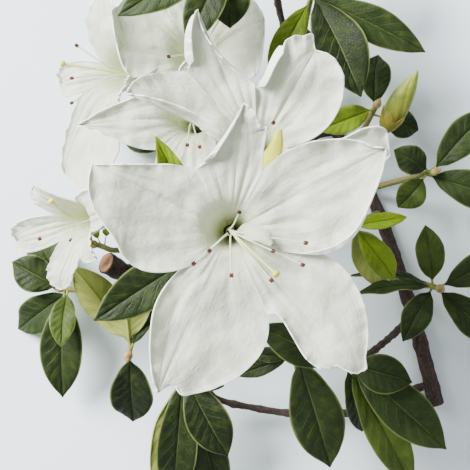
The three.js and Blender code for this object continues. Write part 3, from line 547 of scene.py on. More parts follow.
def finish_piece(pieces, name, node):
    """Joins the pieces of a node into one and lets it stand for that node."""
    choose(pieces)
    if len(pieces) > 1:
        bpy.ops.object.join()
    piece = bpy.context.object
    piece.name = name
    piece.data.name = name
    bpy.ops.object.shade_smooth_by_angle(angle=math.radians(50))
    bpy.ops.object.select_all(action="DESELECT")
    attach(piece, BODY)
    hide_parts(node)


# MATERIALS


class Shade:
    """Nodes of one material, made by name."""

    def __init__(self, name, roughness, specular=0.3, sheen=0, subsurface=0):
        self.material = bpy.data.materials.new(name)
        self.material.use_nodes = True
        self.nodes = self.material.node_tree.nodes
        self.links = self.material.node_tree.links
        self.shader = self.nodes["Principled BSDF"]
        self.feed(self.shader, {
            "Roughness": roughness, "Specular IOR Level": specular, "Sheen Weight": sheen,
            "Subsurface Weight": subsurface, "Subsurface Scale": 0.003, "Subsurface Radius": (0.85, 1, 0.6),
        })

    def feed(self, node, sources):
        """Gives a node's inputs their sources, each another node's output or a plain value."""
        for key, source in sources.items():
            if isinstance(source, bpy.types.NodeSocket):
                self.links.new(source, node.inputs[key])
            else:
                node.inputs[key].default_value = source

    def node(self, kind, sources, **settings):
        made = self.nodes.new("ShaderNode" + kind)
        for key, value in settings.items():
            setattr(made, key, value)
        self.feed(made, sources)
        return made

    def math(self, operation, *sources):
        return self.node("Math", dict(enumerate(sources)), operation=operation).outputs[0]

    def weighed(self, *parts):
        """The sum of values, each times its weight."""
        total, *others = [self.math("MULTIPLY", value, weight) for value, weight in parts]
        for other in others:
            total = self.math("ADD", total, other)
        return total

    def attribute(self, name, output="Vector"):
        return self.node("Attribute", {}, attribute_name=name).outputs[output]

    def split(self, vector):
        return self.node("SeparateXYZ", {0: vector}).outputs

    def stretched(self, vector, scale):
        return self.node("VectorMath", {0: vector, 1: scale}, operation="MULTIPLY").outputs[0]

    def place(self):
        return self.node("TexCoord", {}).outputs["Object"]

    def noise(self, vector, scale, detail=3.0, distortion=0.0):
        sources = {"Vector": vector, "Scale": scale, "Detail": detail, "Distortion": distortion}
        return self.node("TexNoise", sources).outputs["Fac"]

    def cells(self, vector, scale):
        sources = {"Vector": vector, "Scale": scale}
        return self.node("TexVoronoi", sources, feature="DISTANCE_TO_EDGE").outputs["Distance"]

    def span(self, value, low, high, new_low=0.0, new_high=1.0):
        """Turns the values from low to high into those from new_low to new_high, smoothly."""
        sources = {"Value": value, "From Min": low, "From Max": high, "To Min": new_low, "To Max": new_high}
        return self.node("MapRange", sources, interpolation_type="SMOOTHSTEP").outputs["Result"]

    def ramp(self, value, *stops):
        """A colour for each value, between stops of (value, colour)."""
        made = self.node("ValToRGB", {"Fac": value})
        elements = made.color_ramp.elements
        while len(elements) < len(stops):
            elements.new(0.5)
        for element, (position, colour) in zip(elements, stops):
            element.position = position
            element.color = (*colour, 1)
        return made.outputs["Color"]

    def mix(self, factor, base, colour):
        """The base with that share of a plain colour over it."""
        sources = {"Factor": factor, "A": base, "B": (*colour, 1)}
        return self.node("Mix", sources, data_type="RGBA").outputs["Result"]

    def finish(self, colour, height, strength, depth, **links):
        """Gives the shader its colour, a bump of that height, and whatever else varies."""
        bump = self.node("Bump", {"Height": height, "Strength": strength, "Distance": depth * MM})
        self.feed(self.shader, {"Base Color": colour, "Normal": bump.outputs["Normal"], **links})
        return self.material


def petal_material(name, pale, shaded, throat_colour, roughness, whitened=0.18):
    """Petal tissue: fine veins that fan out from the throat, its green-yellow there lightened as a painted
    glow, and a painted highlight along the margins.
    """
    shade = Shade(name, roughness, sheen=0.1, subsurface=0.18)
    petal = shade.attribute("petal")
    veins = shade.noise(shade.stretched(petal, (9, 1.3, 5)), 2.2, detail=5, distortion=0.3)
    fine = shade.noise(shade.stretched(petal, (34, 3, 9)), 1.5)
    patches = shade.noise(shade.place(), 110)
    puckers = shade.noise(shade.place(), 420, detail=2, distortion=0.6)
    out = shade.math("ABSOLUTE", shade.split(petal)[0])
    base = shade.ramp(patches, (0.3, shaded), (0.7, pale))
    base = shade.mix(shade.span(veins, 0.35, 0.65, 0.14, 0), base, shaded)
    # Painted highlight: near the margins the colour goes towards near white, most on the backs of the
    # petals.
    base = shade.mix(shade.span(out, 0.96 - whitened * 0.4, 0.98, 0, whitened), base, (0.9, 0.92, 0.88))
    # The throat's own green-yellow, made lighter than it is as a painted glow of light through the thin
    # tube.
    base = shade.mix(shade.attribute("throat", "Fac"), base, throat_colour)
    height = shade.weighed((veins, 0.4), (fine, 0.15), (puckers, 0.8))
    return shade.finish(base, height, strength=0.55, depth=0.8)


def leaf_material(name, dark, middle, young, vein_colour, vein_strength, roughness):
    """A blade with a midrib, side veins that curve forward, and a fine net between them."""
    shade = Shade(name, roughness, specular=0.13)
    across, along = shade.split(shade.attribute("leaf"))[:2]
    out = shade.math("ABSOLUTE", across)
    place = shade.place()
    step = shade.math("MULTIPLY_ADD", along, 8.5, shade.math("MULTIPLY", shade.noise(place, 260), 0.5))
    step = shade.math("SUBTRACT", step, shade.math("MULTIPLY", shade.math("POWER", out, 0.8), 1.9))
    off = shade.math("ABSOLUTE", shade.math("SUBTRACT", shade.math("FRACT", step), 0.5))
    side = shade.math("MULTIPLY", shade.span(off, 0.0, 0.09, 1, 0), shade.span(out, 0.55, 0.95, 1, 0))
    rib = shade.span(out, 0.012, 0.045, 1, 0)
    net = shade.span(shade.cells(place, 900), 0.0, 0.16, 1, 0)
    mottle = shade.noise(place, 330, detail=4)
    patches = shade.noise(place, 120)
    base = shade.ramp(shade.attribute("tone", "Fac"), (0.0, dark), (0.55, middle), (1.0, young))
    base = shade.mix(shade.span(mottle, 0.45, 0.8, 0.0, 0.08), base, young)
    base = shade.mix(shade.span(patches, 0.6, 0.3, 0.0, 0.45), base, dark)
    lines = shade.math("MAXIMUM", rib, shade.math("MULTIPLY", side, 0.22))
    lines = shade.math("MAXIMUM", lines, shade.math("MULTIPLY", net, 0.07))
    base = shade.mix(shade.math("MULTIPLY", lines, vein_strength), base, vein_colour)
    base = shade.mix(shade.span(out, 0.9, 0.98, 0, 0.6), base, (0.17, 0.21, 0.06))
    height = shade.weighed((side, -0.5), (net, -0.25), (mottle, 0.4))
    gloss = shade.span(mottle, 0.25, 0.8, roughness - 0.1, roughness + 0.12)
    return shade.finish(base, height, strength=0.6, depth=0.3, Roughness=gloss)


def streaked_material(name, low, high, fleck, scale, roughness, strength=0.5, depth=0.3):
    """Bark, shoots and stalks: streaks that run along the piece, with flecks between them."""
    shade = Shade(name, roughness)
    run = shade.attribute("run")
    streaks = shade.noise(shade.stretched(run, (1, 1, 0.22)), scale, detail=5, distortion=0.4)
    flecks = shade.noise(shade.stretched(run, (1.2, 1.2, 0.9)), scale * 2.2)
    base = shade.ramp(streaks, (0.32, low), (0.68, high))
    base = shade.mix(shade.span(flecks, 0.56, 0.68, 0, 0.75), base, fleck)
    return shade.finish(base, shade.weighed((streaks, 1), (flecks, 0.4)), strength, depth)


def speckled_material(name, low, high, scale, roughness, subsurface=0):
    """A material whose colour wanders between two, with a fine grain."""
    shade = Shade(name, roughness, subsurface=subsurface)
    place = shade.place()
    base = shade.ramp(shade.noise(place, scale, detail=4), (0.35, low), (0.65, high))
    return shade.finish(base, shade.noise(place, scale * 5, detail=2), strength=0.4, depth=0.1)


def once(name, make, *values, **more):
    """The material of that name, made when it is first asked for."""
    full_name = "azalea_" + name
    return bpy.data.materials.get(full_name) or make(full_name, *values, **more)


def petal_materials():
    """The face of a petal, its back, and its margin, whose lighter colours are a painted highlight on the
    petals' edges.
    """
    return [
        once("petal", petal_material, pale=(0.58, 0.605, 0.525), shaded=(0.48, 0.52, 0.41),
             throat_colour=(0.68, 0.73, 0.36), roughness=0.5),
        # The back carries a strong painted highlight near its margins, which show where the margins roll
        # over.
        once("petal_back", petal_material, pale=(0.58, 0.61, 0.52), shaded=(0.47, 0.52, 0.38),
             throat_colour=(0.34, 0.43, 0.12), roughness=0.55, whitened=0.8),
        # The rim is painted lighter than the face, a painted highlight along the edges of the petals.
        once("petal_margin", petal_material, pale=(0.86, 0.87, 0.84), shaded=(0.82, 0.84, 0.78),
             throat_colour=(0.78, 0.82, 0.6), roughness=0.45),
    ]


def leaf_materials():
    """The upper side of a leaf, its underside, and its margin."""
    return [
        once("leaf", leaf_material, dark=(0.005, 0.009, 0.003), middle=(0.028, 0.048, 0.012),
             young=(0.2, 0.3, 0.006), vein_colour=(0.11, 0.135, 0.055), vein_strength=0.55, roughness=0.5),
        once("leaf_underside", leaf_material, dark=(0.15, 0.185, 0.045), middle=(0.24, 0.275, 0.06),
             young=(0.28, 0.31, 0.05), vein_colour=(0.3, 0.32, 0.1), vein_strength=0.6, roughness=0.6),
        once("leaf_margin", speckled_material, (0.16, 0.21, 0.06), (0.27, 0.31, 0.11), scale=200,
             roughness=0.5),
    ]


def wood_materials():
    """Bark, and the end grain of cut wood."""
    return [
        once("bark", streaked_material, (0.016, 0.01, 0.009), (0.06, 0.037, 0.032),
             fleck=(0.13, 0.1, 0.085), scale=1.1, roughness=0.82, strength=0.8, depth=0.5),
        once("cut_wood", speckled_material, (0.14, 0.06, 0.03), (0.38, 0.19, 0.09), scale=300,
             roughness=0.8),
    ]


def shoot_material():
    return once("young_shoot", streaked_material, (0.1, 0.11, 0.035), (0.24, 0.22, 0.07),
                fleck=(0.2, 0.09, 0.04), scale=1.6, roughness=0.65)


def stalk_material():
    return once("green_stalk", streaked_material, (0.17, 0.24, 0.06), (0.34, 0.42, 0.14),
                fleck=(0.5, 0.52, 0.28), scale=2.2, roughness=0.6)


# WOOD


def bark_relief(strength):
    """Cracks and lumps of bark, and a slight swelling at each old leaf scar."""

    def relief(points, along):
        lumps = rough(points, 3.2) * 0.28 + rough(points + 40, 1.1) * 0.13
        swelling = 0.22 * bell(along * 9 % 1, 0.5, 0.09)
        inner = np.clip(np.minimum(along, 1 - along) * 30, 0, 1)
        return strength * (lumps + swelling) * inner

    return relief


def wood_piece(node, points, radii, relief, cut_ends=False):
    """One limb with bark, and pale end grain where it was cut."""
    line = even_line(points, step=0.7, least=16)
    materials = wood_materials()
    piece = rod(line, taper(line, *radii), 26, *materials, relief=bark_relief(relief), reach=0.25)
    if cut_ends:
        face = Vector((line[0] + LAYOUT_SHIFT) * MM)
        way = Vector(unit(line[1] - line[0]))
        for polygon in piece.data.polygons:
            near = (polygon.center - face).length < radii[0] * 0.92 * MM
            if near and abs(polygon.normal.dot(way)) > 0.6:
                polygon.material_index = 1
    finish_piece([piece], node + "_bark", node)


# BLOOMS


def facing(turn, rise):
    """Turns a bloom that looks up into one that faces the given way."""
    axis = Vector(heading(turn, rise))
    return np.array(Vector((0, 0, 1)).rotation_difference(axis).to_matrix())


def placed(bloom, local):
    """Points of the bloom's own frame, whose axis is z, where the layout has them."""
    return local @ facing(*bloom["face"]).T + np.array(bloom["throat"], float)


def bloom_rod(bloom, line, radii, sides, material, reach=0.6):
    """A rod whose line is in the bloom's own frame."""
    places, sizes = rounded(line, radii, reach)
    return dress(tube(placed(bloom, places), sizes, sides), material)


def funnel(reach):
    """The height of a bloom's tube at a reach from its axis, towards 0 out in the lobes."""
    return -TUBE_DEPTH * np.exp(-(reach - TUBE_RADIUS) / TUBE_FLARE)


def margin(notch, handles, tip, free):
    """A lobe's edge: a curve from its notch past two handles to its tip."""
    a, b, c, d = (polar(*place)[:2] for place in (notch, *handles, tip))
    t = free[:, None]
    return a * (1 - t) ** 3 + 3 * b * t * (1 - t) ** 2 + 3 * c * t * t * (1 - t) + d * t ** 3


def swell(lobe, side, free):
    """How far a margin stands out of its smooth curve, or in where it is nicked."""
    total = np.zeros_like(free)
    for where, at, size, width in lobe["swells"]:
        if where == side:
            total += size * bell(free, at, width)
    return total * np.clip((1 - free) * 12, 0, 1)


def lobe_outline(bloom, i, across, v):
    """The margin beside each point, how far out the lobe's rib is, and the share past the notches."""
    shape = bloom["shape"]
    lobe = shape["lobes"][i]
    fused = bloom["fused"]
    notches = {"right": shape["notches"][i], "left": shape["notches"][(i + 1) % 5]}
    share = np.clip(v / fused, 0, 1) ** 1.3
    free = np.clip((v - fused) / (1 - fused), 0, 1)
    edges = {}
    for side, notch in notches.items():
        below = polar(notch[0], lerp(TUBE_RADIUS, notch[1], share))[:, :2]
        above = margin(notch, lobe[side], lobe["tip"], free)
        above = above + unit(above) * swell(lobe, side, free)[:, None]
        edges[side] = np.where((v <= fused)[:, None], below, above)
    edge = np.where((across < 0)[:, None], edges["left"], edges["right"])
    fold = (notches["left"][1] + notches["right"][1]) / 2
    rib = np.where(v <= fused, lerp(TUBE_RADIUS, fold, share), lerp(fold, lobe["tip"][1], free))
    return edge, rib, free


def lobe_points(bloom, i, u, v, frill, crumple):
    """One lobe with its share of the tube, in the bloom's own frame."""
    lobe = bloom["shape"]["lobes"][i]
    across = 2 * u - 1
    out = np.abs(across)
    edge, rib, free = lobe_outline(bloom, i, across, v)

    # A rolled margin turns back over the lobe, so it shows less of the width.
    start, end = lobe["rolled"]
    roll = np.where(across < 0, *lobe["rolls"]) * smooth(free * 4) * smooth((end - free) * 5)
    rolled = np.clip((out - start) / (1 - start), 0, 1) * math.pi * 0.8
    folded = np.where(out > start, start + (1 - start) * np.sin(rolled), out)
    width = np.where(roll > 0, lerp(out, folded, np.clip(roll, 0, 1)), out)
    middle = lobe["tip"][0]
    edge_turn = np.degrees(np.arctan2(edge[:, 1], edge[:, 0]))
    swing = (edge_turn - middle + 180) % 360 - 180
    turn = middle + swing * width
    reach = lerp(rib, np.hypot(edge[:, 0], edge[:, 1]), width ** 2)

    # The lobe's height: its bend, lifted margins and long waves, then the frill along its edge.
    window = np.sqrt(np.sin(math.pi * free) + 1e-9)
    lift = np.where(across < 0, *lobe["lifts"]) * out ** 2
    wave = lobe["ripple"] * np.sin(9 * free + 2 * across) * out * window * smooth(free * 3)
    height = funnel(reach) + lobe["rise"] * smooth(free) - lobe["droop"] * free ** 4
    height = height + lift * window + wave + roll * 0.6 * (1 - np.cos(rolled))
    seed = i * 7.3 + bloom["throat"][0]
    waves = np.sin(2 * math.pi * (5.2 * free + seed)) + 0.6 * np.sin(2 * math.pi * (11.7 * free + 2 * seed))
    height = height + frill * 0.4 * waves * out ** 5 * smooth(free * 2.5)
    height = height + frill * 0.9 * out ** 16 * smooth(free * 3)

    # Pleats along the rib and beside it, and dents all over.
    pleats = bell(across, 0, 0.07) + 0.6 * bell(out, 0.42, 0.09)
    height = height - crumple * 0.5 * pleats * smooth(v * 3) * (1 - free ** 3)
    points = polar(turn, reach, height)
    folds = triples(turn * 0.16, reach * 0.07, seed)
    dents = 1.8 * rough(points + seed, 12) + 0.6 * rough(points - seed, 5) + 0.65 * rough(folds, 1)
    points[:, 2] += crumple * dents * smooth((reach - 4) / 10)
    return points, triples(across, v, seed)


def petal_lobe(bloom, i, frill, crumple):
    """One lobe as a thin sheet, with how strongly the throat's tint, lightened as a painted glow, shows on
    it.
    """

    def formula(u, v):
        local, petal = lobe_points(bloom, i, u, v, frill, crumple)
        reach = np.hypot(local[:, 0], local[:, 1])
        return placed(bloom, local), {"petal": petal, "throat": np.exp(-(reach - 2) / THROAT_GLOW)}

    return sheet(*bloom["grid"], formula)


def corolla(name, bloom, settings):
    """The petals of a bloom, five lobes that are fused round its throat."""
    lobes = [petal_lobe(bloom, i, settings.frill, settings.crumple) for i in range(5)]
    choose(lobes)
    bpy.ops.object.join()
    piece = bpy.context.object
    weld(piece, LOBE_GAP, outwards=False)
    dress(piece, *petal_materials())
    thicken(piece, settings.petal_thickness / MM)
    finish_piece([piece], name + "_petals", "corolla_" + name)


def flap(bloom, points, width, yellow):
    """A petal-like flap that a stamen has turned into."""
    rows = 28
    line = spline([polar(0, 0.5, -TUBE_DEPTH + 0.8)] + [polar(*p) for p in points], rows + 1)
    asides = unit(np.cross(unit(np.gradient(line, axis=0)), (0, 0, 1)) + 1e-9)

    def formula(u, v):
        row = np.rint(v * rows).astype(int)
        across = 2 * u - 1
        opened = smooth((v - 0.45) / 0.4)
        half = 0.35 + (width / 2 - 0.35) * opened * (1 - 0.9 * v ** (4 if yellow else 8))
        local = line[row] + asides[row] * (across * half)[:, None]
        local[:, 2] -= across ** 2 * half * 0.3
        local[:, 2] += 0.35 * np.sin(7 * v + 3 * across) * opened * across ** 2
        return placed(bloom, local), {"petal": triples(across, v, 3.1), "throat": np.full_like(v, 0.15)}

    piece = dress(sheet(12, rows, formula), *petal_materials())
    thicken(piece, 0.35)
    if yellow:
        piece.data.materials[0] = once(
            "petal_yellow", petal_material, pale=(0.7, 0.71, 0.09), shaded=(0.62, 0.62, 0.05),
            throat_colour=(0.58, 0.58, 0.04), roughness=0.5, whitened=0,
        )
    return piece


def stamen_materials():
    """Finishes of the parts of stamens, each (low, high, scale, roughness, subsurface)."""
    finishes = {
        "filament": ((0.54, 0.58, 0.4), (0.62, 0.65, 0.52), 700, 0.45, 0.2),
        "style": ((0.48, 0.54, 0.14), (0.58, 0.62, 0.22), 700, 0.4, 0.2),
        "stigma": ((0.52, 0.5, 0.03), (0.64, 0.62, 0.08), 1500, 0.3, 0),
        "anther": ((0.028, 0.011, 0.007), (0.12, 0.04, 0.022), 1800, 0.85, 0),
    }
    return {name: once(name, speckled_material, *values) for name, values in finishes.items()}


def anther(bloom, end, way, material):
    """A two-lobed pollen sac across the end of a filament."""
    aside = unit(np.cross(way, (0.2, 0.1, 1)))
    sacs = []
    for side in (-0.26, 0.26):
        centre = end + aside * side
        line = spline([centre - way * 0.6, centre - way * 0.2, centre + way * 0.2, centre + way * 0.6], 7)
        sacs.append(bloom_rod(bloom, line, [0.24, 0.34, 0.38, 0.38, 0.36, 0.32, 0.24], 8, material))
    return sacs


def thread(bloom, start, bend, end, radius, material):
    """A style or filament from the foot of the tube to its end, with that end and its heading. It
    rises straight to a depth of bend times the tube's, and leans out from there."""
    turn, reach, height = end
    points = [polar(*start, -TUBE_DEPTH + 0.4), polar(*start, -TUBE_DEPTH * bend),
              polar(turn, min(2.4, reach * 0.3), -2), polar(turn, reach, height)]
    line = spline(points, 34)
    piece = bloom_rod(bloom, line, taper(line, radius, radius * 0.85), 8, material)
    return piece, line[-1], unit(line[-1] - line[-2])


def stamens(name, bloom):
    """The style of a bloom with its stigma, and filaments with anthers on a hub in the tube."""
    kinds = stamen_materials()
    rise = [(0, 0, -TUBE_DEPTH + up) for up in (0, 0.6, 1.2)]
    hub = bloom_rod(bloom, rise, [TUBE_FOOT_RADIUS] * 3, 16, kinds["filament"], reach=0.3)
    style, end, way = thread(bloom, (0, 0), 0.45, bloom["ends"][0], STYLE_RADIUS, kinds["style"])
    knob = [end - way * 0.5, end, end + way * 0.7, end + way]
    stigma = bloom_rod(bloom, knob, [0.5, 1.05, 1.15, 0.9], 14, kinds["stigma"], reach=0.4)
    pieces = [hub, style, stigma]
    filaments = sorted(bloom["ends"][1:])
    for i, filament in enumerate(filaments):
        start = (filaments[0][0] + i * 360 / len(filaments), TUBE_FOOT_RADIUS * 0.72)
        piece, end, way = thread(bloom, start, 0.55, filament, FILAMENT_RADIUS, kinds["filament"])
        pieces += [piece, *anther(bloom, end, way, kinds["anther"])]
    if "flap" in bloom:
        pieces.append(flap(bloom, **bloom["flap"]))
    finish_piece(pieces, name + "_stamens", "stamens_" + name)


def sepal(bloom, turn, floor):
    """One small pointed lobe of the green cup."""
    bore = CALYX_BORE + 0.35

    def formula(u, v):
        across = 2 * u - 1
        half = 1.25 * (1 - v ** 2.2) * (0.7 + 0.5 * v)
        angle = turn + np.degrees(across * half / bore)
        local = polar(angle, bore + 0.5 * v ** 2, floor + 0.8 + 3.1 * v)
        return placed(bloom, local), {"run": triples(across * 3, v * 2, v * 4 + turn)}

    piece = sheet(6, 8, formula)
    thicken(piece, 0.28, materials=1)
    return piece


def calyx_cup(bloom, floor):
    """The green cup that holds a bloom's tube: its outside from the stalk up, its rim, its inside."""
    profile = [(0.01, -2.6), (0.8, -2.45), (2.2, -1.6), (3.6, -0.6), (3.85, 0.4), (3.8, 1.2), (3.75, 1.8),
               (3.35, 1.8), (3.3, 1), (3.2, 0.1), (1.6, 0.02), (0.01, 0)]
    reaches, heights = np.array(profile).T
    last = len(profile) - 1

    def formula(u, v):
        row = np.rint(v * last).astype(int)
        ribs = 1 + 0.03 * np.cos(2 * math.pi * 10 * u) * (row < 7)
        local = polar(-360 * u, reaches[row] * ribs, floor + heights[row])
        return placed(bloom, local), {"run": ring(2 * math.pi * u, 3, heights[row])}

    return closed_sheet(40, last, formula)


def stalk(name, bloom):
    """The stalk of a bloom, and the green cup on its end with five sepals."""
    floor = -TUBE_DEPTH - CLEAR - 0.3
    axis = heading(*bloom["face"])
    top = np.array(bloom["throat"], float) - axis * (TUBE_DEPTH + CLEAR + 1.5)
    path = line_from(bloom["limb"], [*bloom.get("via", ()), top - axis * 4]) + [top]
    line = even_line(path, step=0.9, least=10)
    pieces = [rod(line, taper(line, STALK_RADIUS, STALK_RADIUS), 14, relief=bumps(0.09, 0.8))]
    pieces += [calyx_cup(bloom, floor)] + [sepal(bloom, 72 * i + 20, floor) for i in range(5)]
    for piece in pieces:
        dress(piece, stalk_material())
    finish_piece(pieces, name + "_stalk", "stalk_" + name)


# LEAVES


def half_width(along, width):
    """Half the width of a blade, with its share of the length along it."""
    belly = np.sin(math.pi * along ** 1.05) ** 0.8
    return 0.5 + (width - 1) / 2 * belly * (1 - 0.7 * along ** 12)


def leaf_frame(tip, place, roll):
    """A matrix whose rows run along the leaf, across it and up, turned by roll degrees."""
    ahead = unit(np.array(tip, float) - place)
    aside = unit(np.cross((0, 0, 1), ahead))
    up = np.cross(ahead, aside)
    turn = math.radians(roll)
    return np.array([
        ahead,
        aside * math.cos(turn) + up * math.sin(turn),
        up * math.cos(turn) - aside * math.sin(turn),
    ])


def leaf(spec, place, seed, settings):
    """A blade with a sunk midrib and side veins, on a round stalk that runs on as the midrib."""
    *tip, width, roll, tone = spec
    length = float(np.linalg.norm(np.array(tip) - place))
    frame_rows = leaf_frame(tip, place, roll)
    veins = settings.vein_depth / MM
    curl = settings.curl / MM
    wander = np.random.default_rng(seed)
    bend = wander.uniform(-0.7, 0.7) * min(1, width / 10)
    pitch = wander.uniform(0.8, 1.2)
    twist = wander.uniform(-0.16, 0.16)

    def arch(reach):
        return 2.5 * np.sin(math.pi * reach / length)

    def formula(u, v):
        across = 1 - 2 * u
        out = np.abs(across)
        reach = lerp(PETIOLE * 0.8, length, v)
        half = half_width(v, width) * (1 - 0.75 * v ** 30) * lerp(0.5, 1, smooth(v * 8))
        side = across * half + bend * np.sin(math.pi * v)
        rise = arch(reach) + 0.22 * out * half
        broad = smooth(half / 3)
        rise = rise - veins * 1.3 * bell(across, 0, 0.07) * broad
        step = v * 7.5 - 1.8 * out ** 0.8
        rise = rise + veins * 0.6 * np.cos(2 * math.pi * step) * broad * out * (1 - out ** 4) * 2.2
        waves = np.sin(2 * math.pi * (2.1 * v * pitch + 0.3 * np.sign(across)))
        rise = rise + curl * waves * out ** 2 * broad
        rise = rise - curl * 0.9 * out ** 10 * broad
        rise = rise + twist * side * (v - 0.3)
        notes = {"leaf": triples(across, v, seed), "tone": np.full_like(v, tone)}
        return triples(reach, side, rise) @ frame_rows + place, notes

    grid = (18, 34) if width > 4 else (8, 12)
    blade = dress(sheet(*grid, formula), *leaf_materials())
    thicken(blade, settings.blade_thickness / MM)
    reach = np.linspace(0, length * 0.86, 22)
    radii = lerp(0.58, 0.12, (reach / reach[-1]) ** 0.6) * min(1, 0.45 + width / 20)
    under = (radii * 0.75 + veins * 1.3) * smooth((reach - 1) / 3)
    sway = bend * np.sin(math.pi * np.clip(reach - 2.8, 0, None) / length)
    stem, radii = rounded(triples(reach, sway, arch(reach) - under), radii)
    midrib = dress(tube(stem @ frame_rows + place, radii, 7), leaf_materials()[1])
    count = len(midrib.data.vertices)
    note(midrib, "leaf", np.tile((0.5, 0.5, seed), (count, 1)))
    note(midrib, "tone", np.full(count, min(1, tone + 0.3)))
    return [blade, midrib]


def terminal_bud(tip, way):
    """A small scaly bud at the end of a shoot."""
    line = [tip + way * t for t in (0, 0.8, 1.7, 2.6, 3.4)]
    radii = np.array([1.1, 1.45, 1.35, 0.9, 0.35]) * WHORL_RADIUS
    scales = once("bud_scales", speckled_material, (0.2, 0.09, 0.03), (0.36, 0.34, 0.12), scale=420,
                  roughness=0.6)
    return rod(line, radii, 16, scales, relief=bumps(0.1, 0.7))


def leaf_mass(name, spec, order, settings):
    """A shoot with a bud on its end and its leaves below that, each a step further down."""
    path = line_from(spec["limb"], spec["points"])
    line = even_line(path, step=0.9, least=8)
    radii = taper(line, WHORL_RADIUS * 1.05, WHORL_RADIUS * 0.92)
    shoot = rod(line, radii, 14, shoot_material(), relief=bumps(0.12, 1.1))
    tip = path[-1]
    back = unit(path[-2] - tip)
    pieces = [shoot, terminal_bud(tip, -back)]
    for i, blade in enumerate(spec["leaves"]):
        down = 0.6 + (i % 3) * 1.2
        pieces += leaf(blade, tip + back * down, order * 20 + i, settings)
    finish_piece(pieces, "foliage_" + name, "leaves_" + name)


# BUD AND STUB


def bud_material(name):
    """Green-yellow bud tissue with pleats, rust brown towards its foot."""
    shade = Shade(name, 0.5, specular=0.35, subsurface=0.15)
    place = shade.place()
    wander = shade.noise(place, 240, detail=4, distortion=0.5)
    base = shade.ramp(wander, (0.3, (0.09, 0.145, 0.008)), (0.7, (0.25, 0.285, 0.024)))
    rust = shade.math("MULTIPLY", shade.attribute("foot", "Fac"), shade.span(wander, 0.3, 0.6, 0.2, 1))
    base = shade.mix(rust, base, (0.28, 0.09, 0.014))
    return shade.finish(base, shade.noise(place, 900), strength=0.4, depth=0.15)


def flower_bud():
    """A closed bud: five pleated petals wound round each other above short brown scales."""
    foot = np.array(BUD["foot"], float)
    axis = np.array(BUD["tip"], float) - foot
    length = float(np.linalg.norm(axis))
    ahead = unit(axis)
    aside = unit(np.cross((0, 0, 1), ahead))
    frame_rows = np.array([aside, np.cross(ahead, aside), ahead])

    def profile(along):
        return np.sin(math.pi * np.clip(along, 0, 1) ** 0.85) ** 0.75 * (1 - 0.25 * along)

    def skin(angle, reach, along):
        return ring(angle, reach, length * along) @ frame_rows + foot

    def body(u, v):
        angle = 2 * math.pi * u
        winding = np.abs(np.sin(2.5 * angle + 3.4 * v + 0.4 * np.sin(2 * angle)))
        reach = BUD["width"] / 2 * profile(v) * (0.86 + 0.16 * winding ** 0.6)
        return skin(angle, reach, v), {"foot": np.exp(-v / 0.16)}

    pieces = [closed_sheet(60, 40, body)]
    for row in range(3):
        for k in range(5):

            def scale_points(u, v, turn=72 * k + 36 * row, row=row):
                across = 2 * u - 1
                along = 0.02 + (0.13 + 0.1 * row) * v
                angle = np.radians(turn + across * 38 * (1 - v ** 2) ** 0.6)
                reach = BUD["width"] / 2 * profile(along) * 1.03 + 0.35 - 0.08 * row
                return skin(angle, reach, along), {"foot": 1 - 0.45 * v - 0.12 * row}

            scale = sheet(8, 8, scale_points)
            thicken(scale, 0.3, materials=1)
            pieces.append(scale)
    for piece in pieces:
        dress(piece, once("bud", bud_material))
    line = spline(line_from(BUD["limb"], [foot]) + [foot + axis * 0.1], 24)
    pieces.append(rod(line, taper(line, 1.1, 1.3), 12, shoot_material()))
    finish_piece(pieces, "bud_closed", "flower_bud")


def pruned_stub(relief):
    """A short thick branch that was cut long ago: cracked bark, and a hollow in its end."""
    line = spline(line_from(STUB["limb"], STUB["points"]), 40)
    radii = taper(line, *STUB["radii"])
    way = unit(line[-1] - line[-2])
    cut = [(0.97, 0.25), (0.86, 0.42), (0.6, 0.3), (0.34, 0.1), (0.2, -0.5), (0.08, -1.0), (0.0, -1.1)]
    start = [line[0] - unit(line[1] - line[0]) * 0.1]
    places = np.vstack([start, line, [line[-1] + way * height for _, height in cut]])
    sizes = np.concatenate([[0], radii, [radii[-1] * share for share, _ in cut]])
    last = len(places) - 1
    ways = np.vstack([np.gradient(np.vstack([start, line]), axis=0), np.tile(way, (len(cut), 1))])
    ways = unit(ways)
    asides = unit(np.cross(ways, (0.1, 0.3, 0.95)))
    others = np.cross(ways, asides)

    def formula(u, v):
        row = np.rint(v * last).astype(int)
        angle = 2 * math.pi * u
        out = asides[row] * np.cos(angle)[:, None] + others[row] * np.sin(angle)[:, None]
        points = places[row] + out * sizes[row][:, None]
        rind = np.clip(np.minimum(row, last - row) / 4, 0, 1)
        lumps = 0.32 * rough(points, 2.2) + 0.16 * rough(points, 0.8)
        points = points + out * (relief * lumps * rind)[:, None]
        return points, {"run": ring(angle, 3, row * 0.4)}

    piece = dress(closed_sheet(34, last, formula), *wood_materials())
    end = (line[-1] + LAYOUT_SHIFT) * MM
    for polygon in piece.data.polygons:
        offset = np.array(polygon.center) - end
        if offset.dot(way) > -1.3 * MM and np.linalg.norm(offset - way * offset.dot(way)) < 3.4 * MM:
            polygon.material_index = 1
    finish_piece([piece], "stub_cut", "pruned_stub")


# STAGE


def studio_light(name, energy, place, size, colour):
    """A large soft lamp that looks at the branch."""
    bpy.ops.object.light_add(type="AREA", location=place)
    lamp = bpy.context.object
    lamp.name = name
    lamp.data.shape = "DISK"
    lamp.data.size = size
    lamp.data.energy = energy
    lamp.data.color = colour
    aim = Vector(LAMP_AIM) - Vector(place)
    lamp.rotation_euler = aim.to_track_quat("-Z", "Y").to_euler()


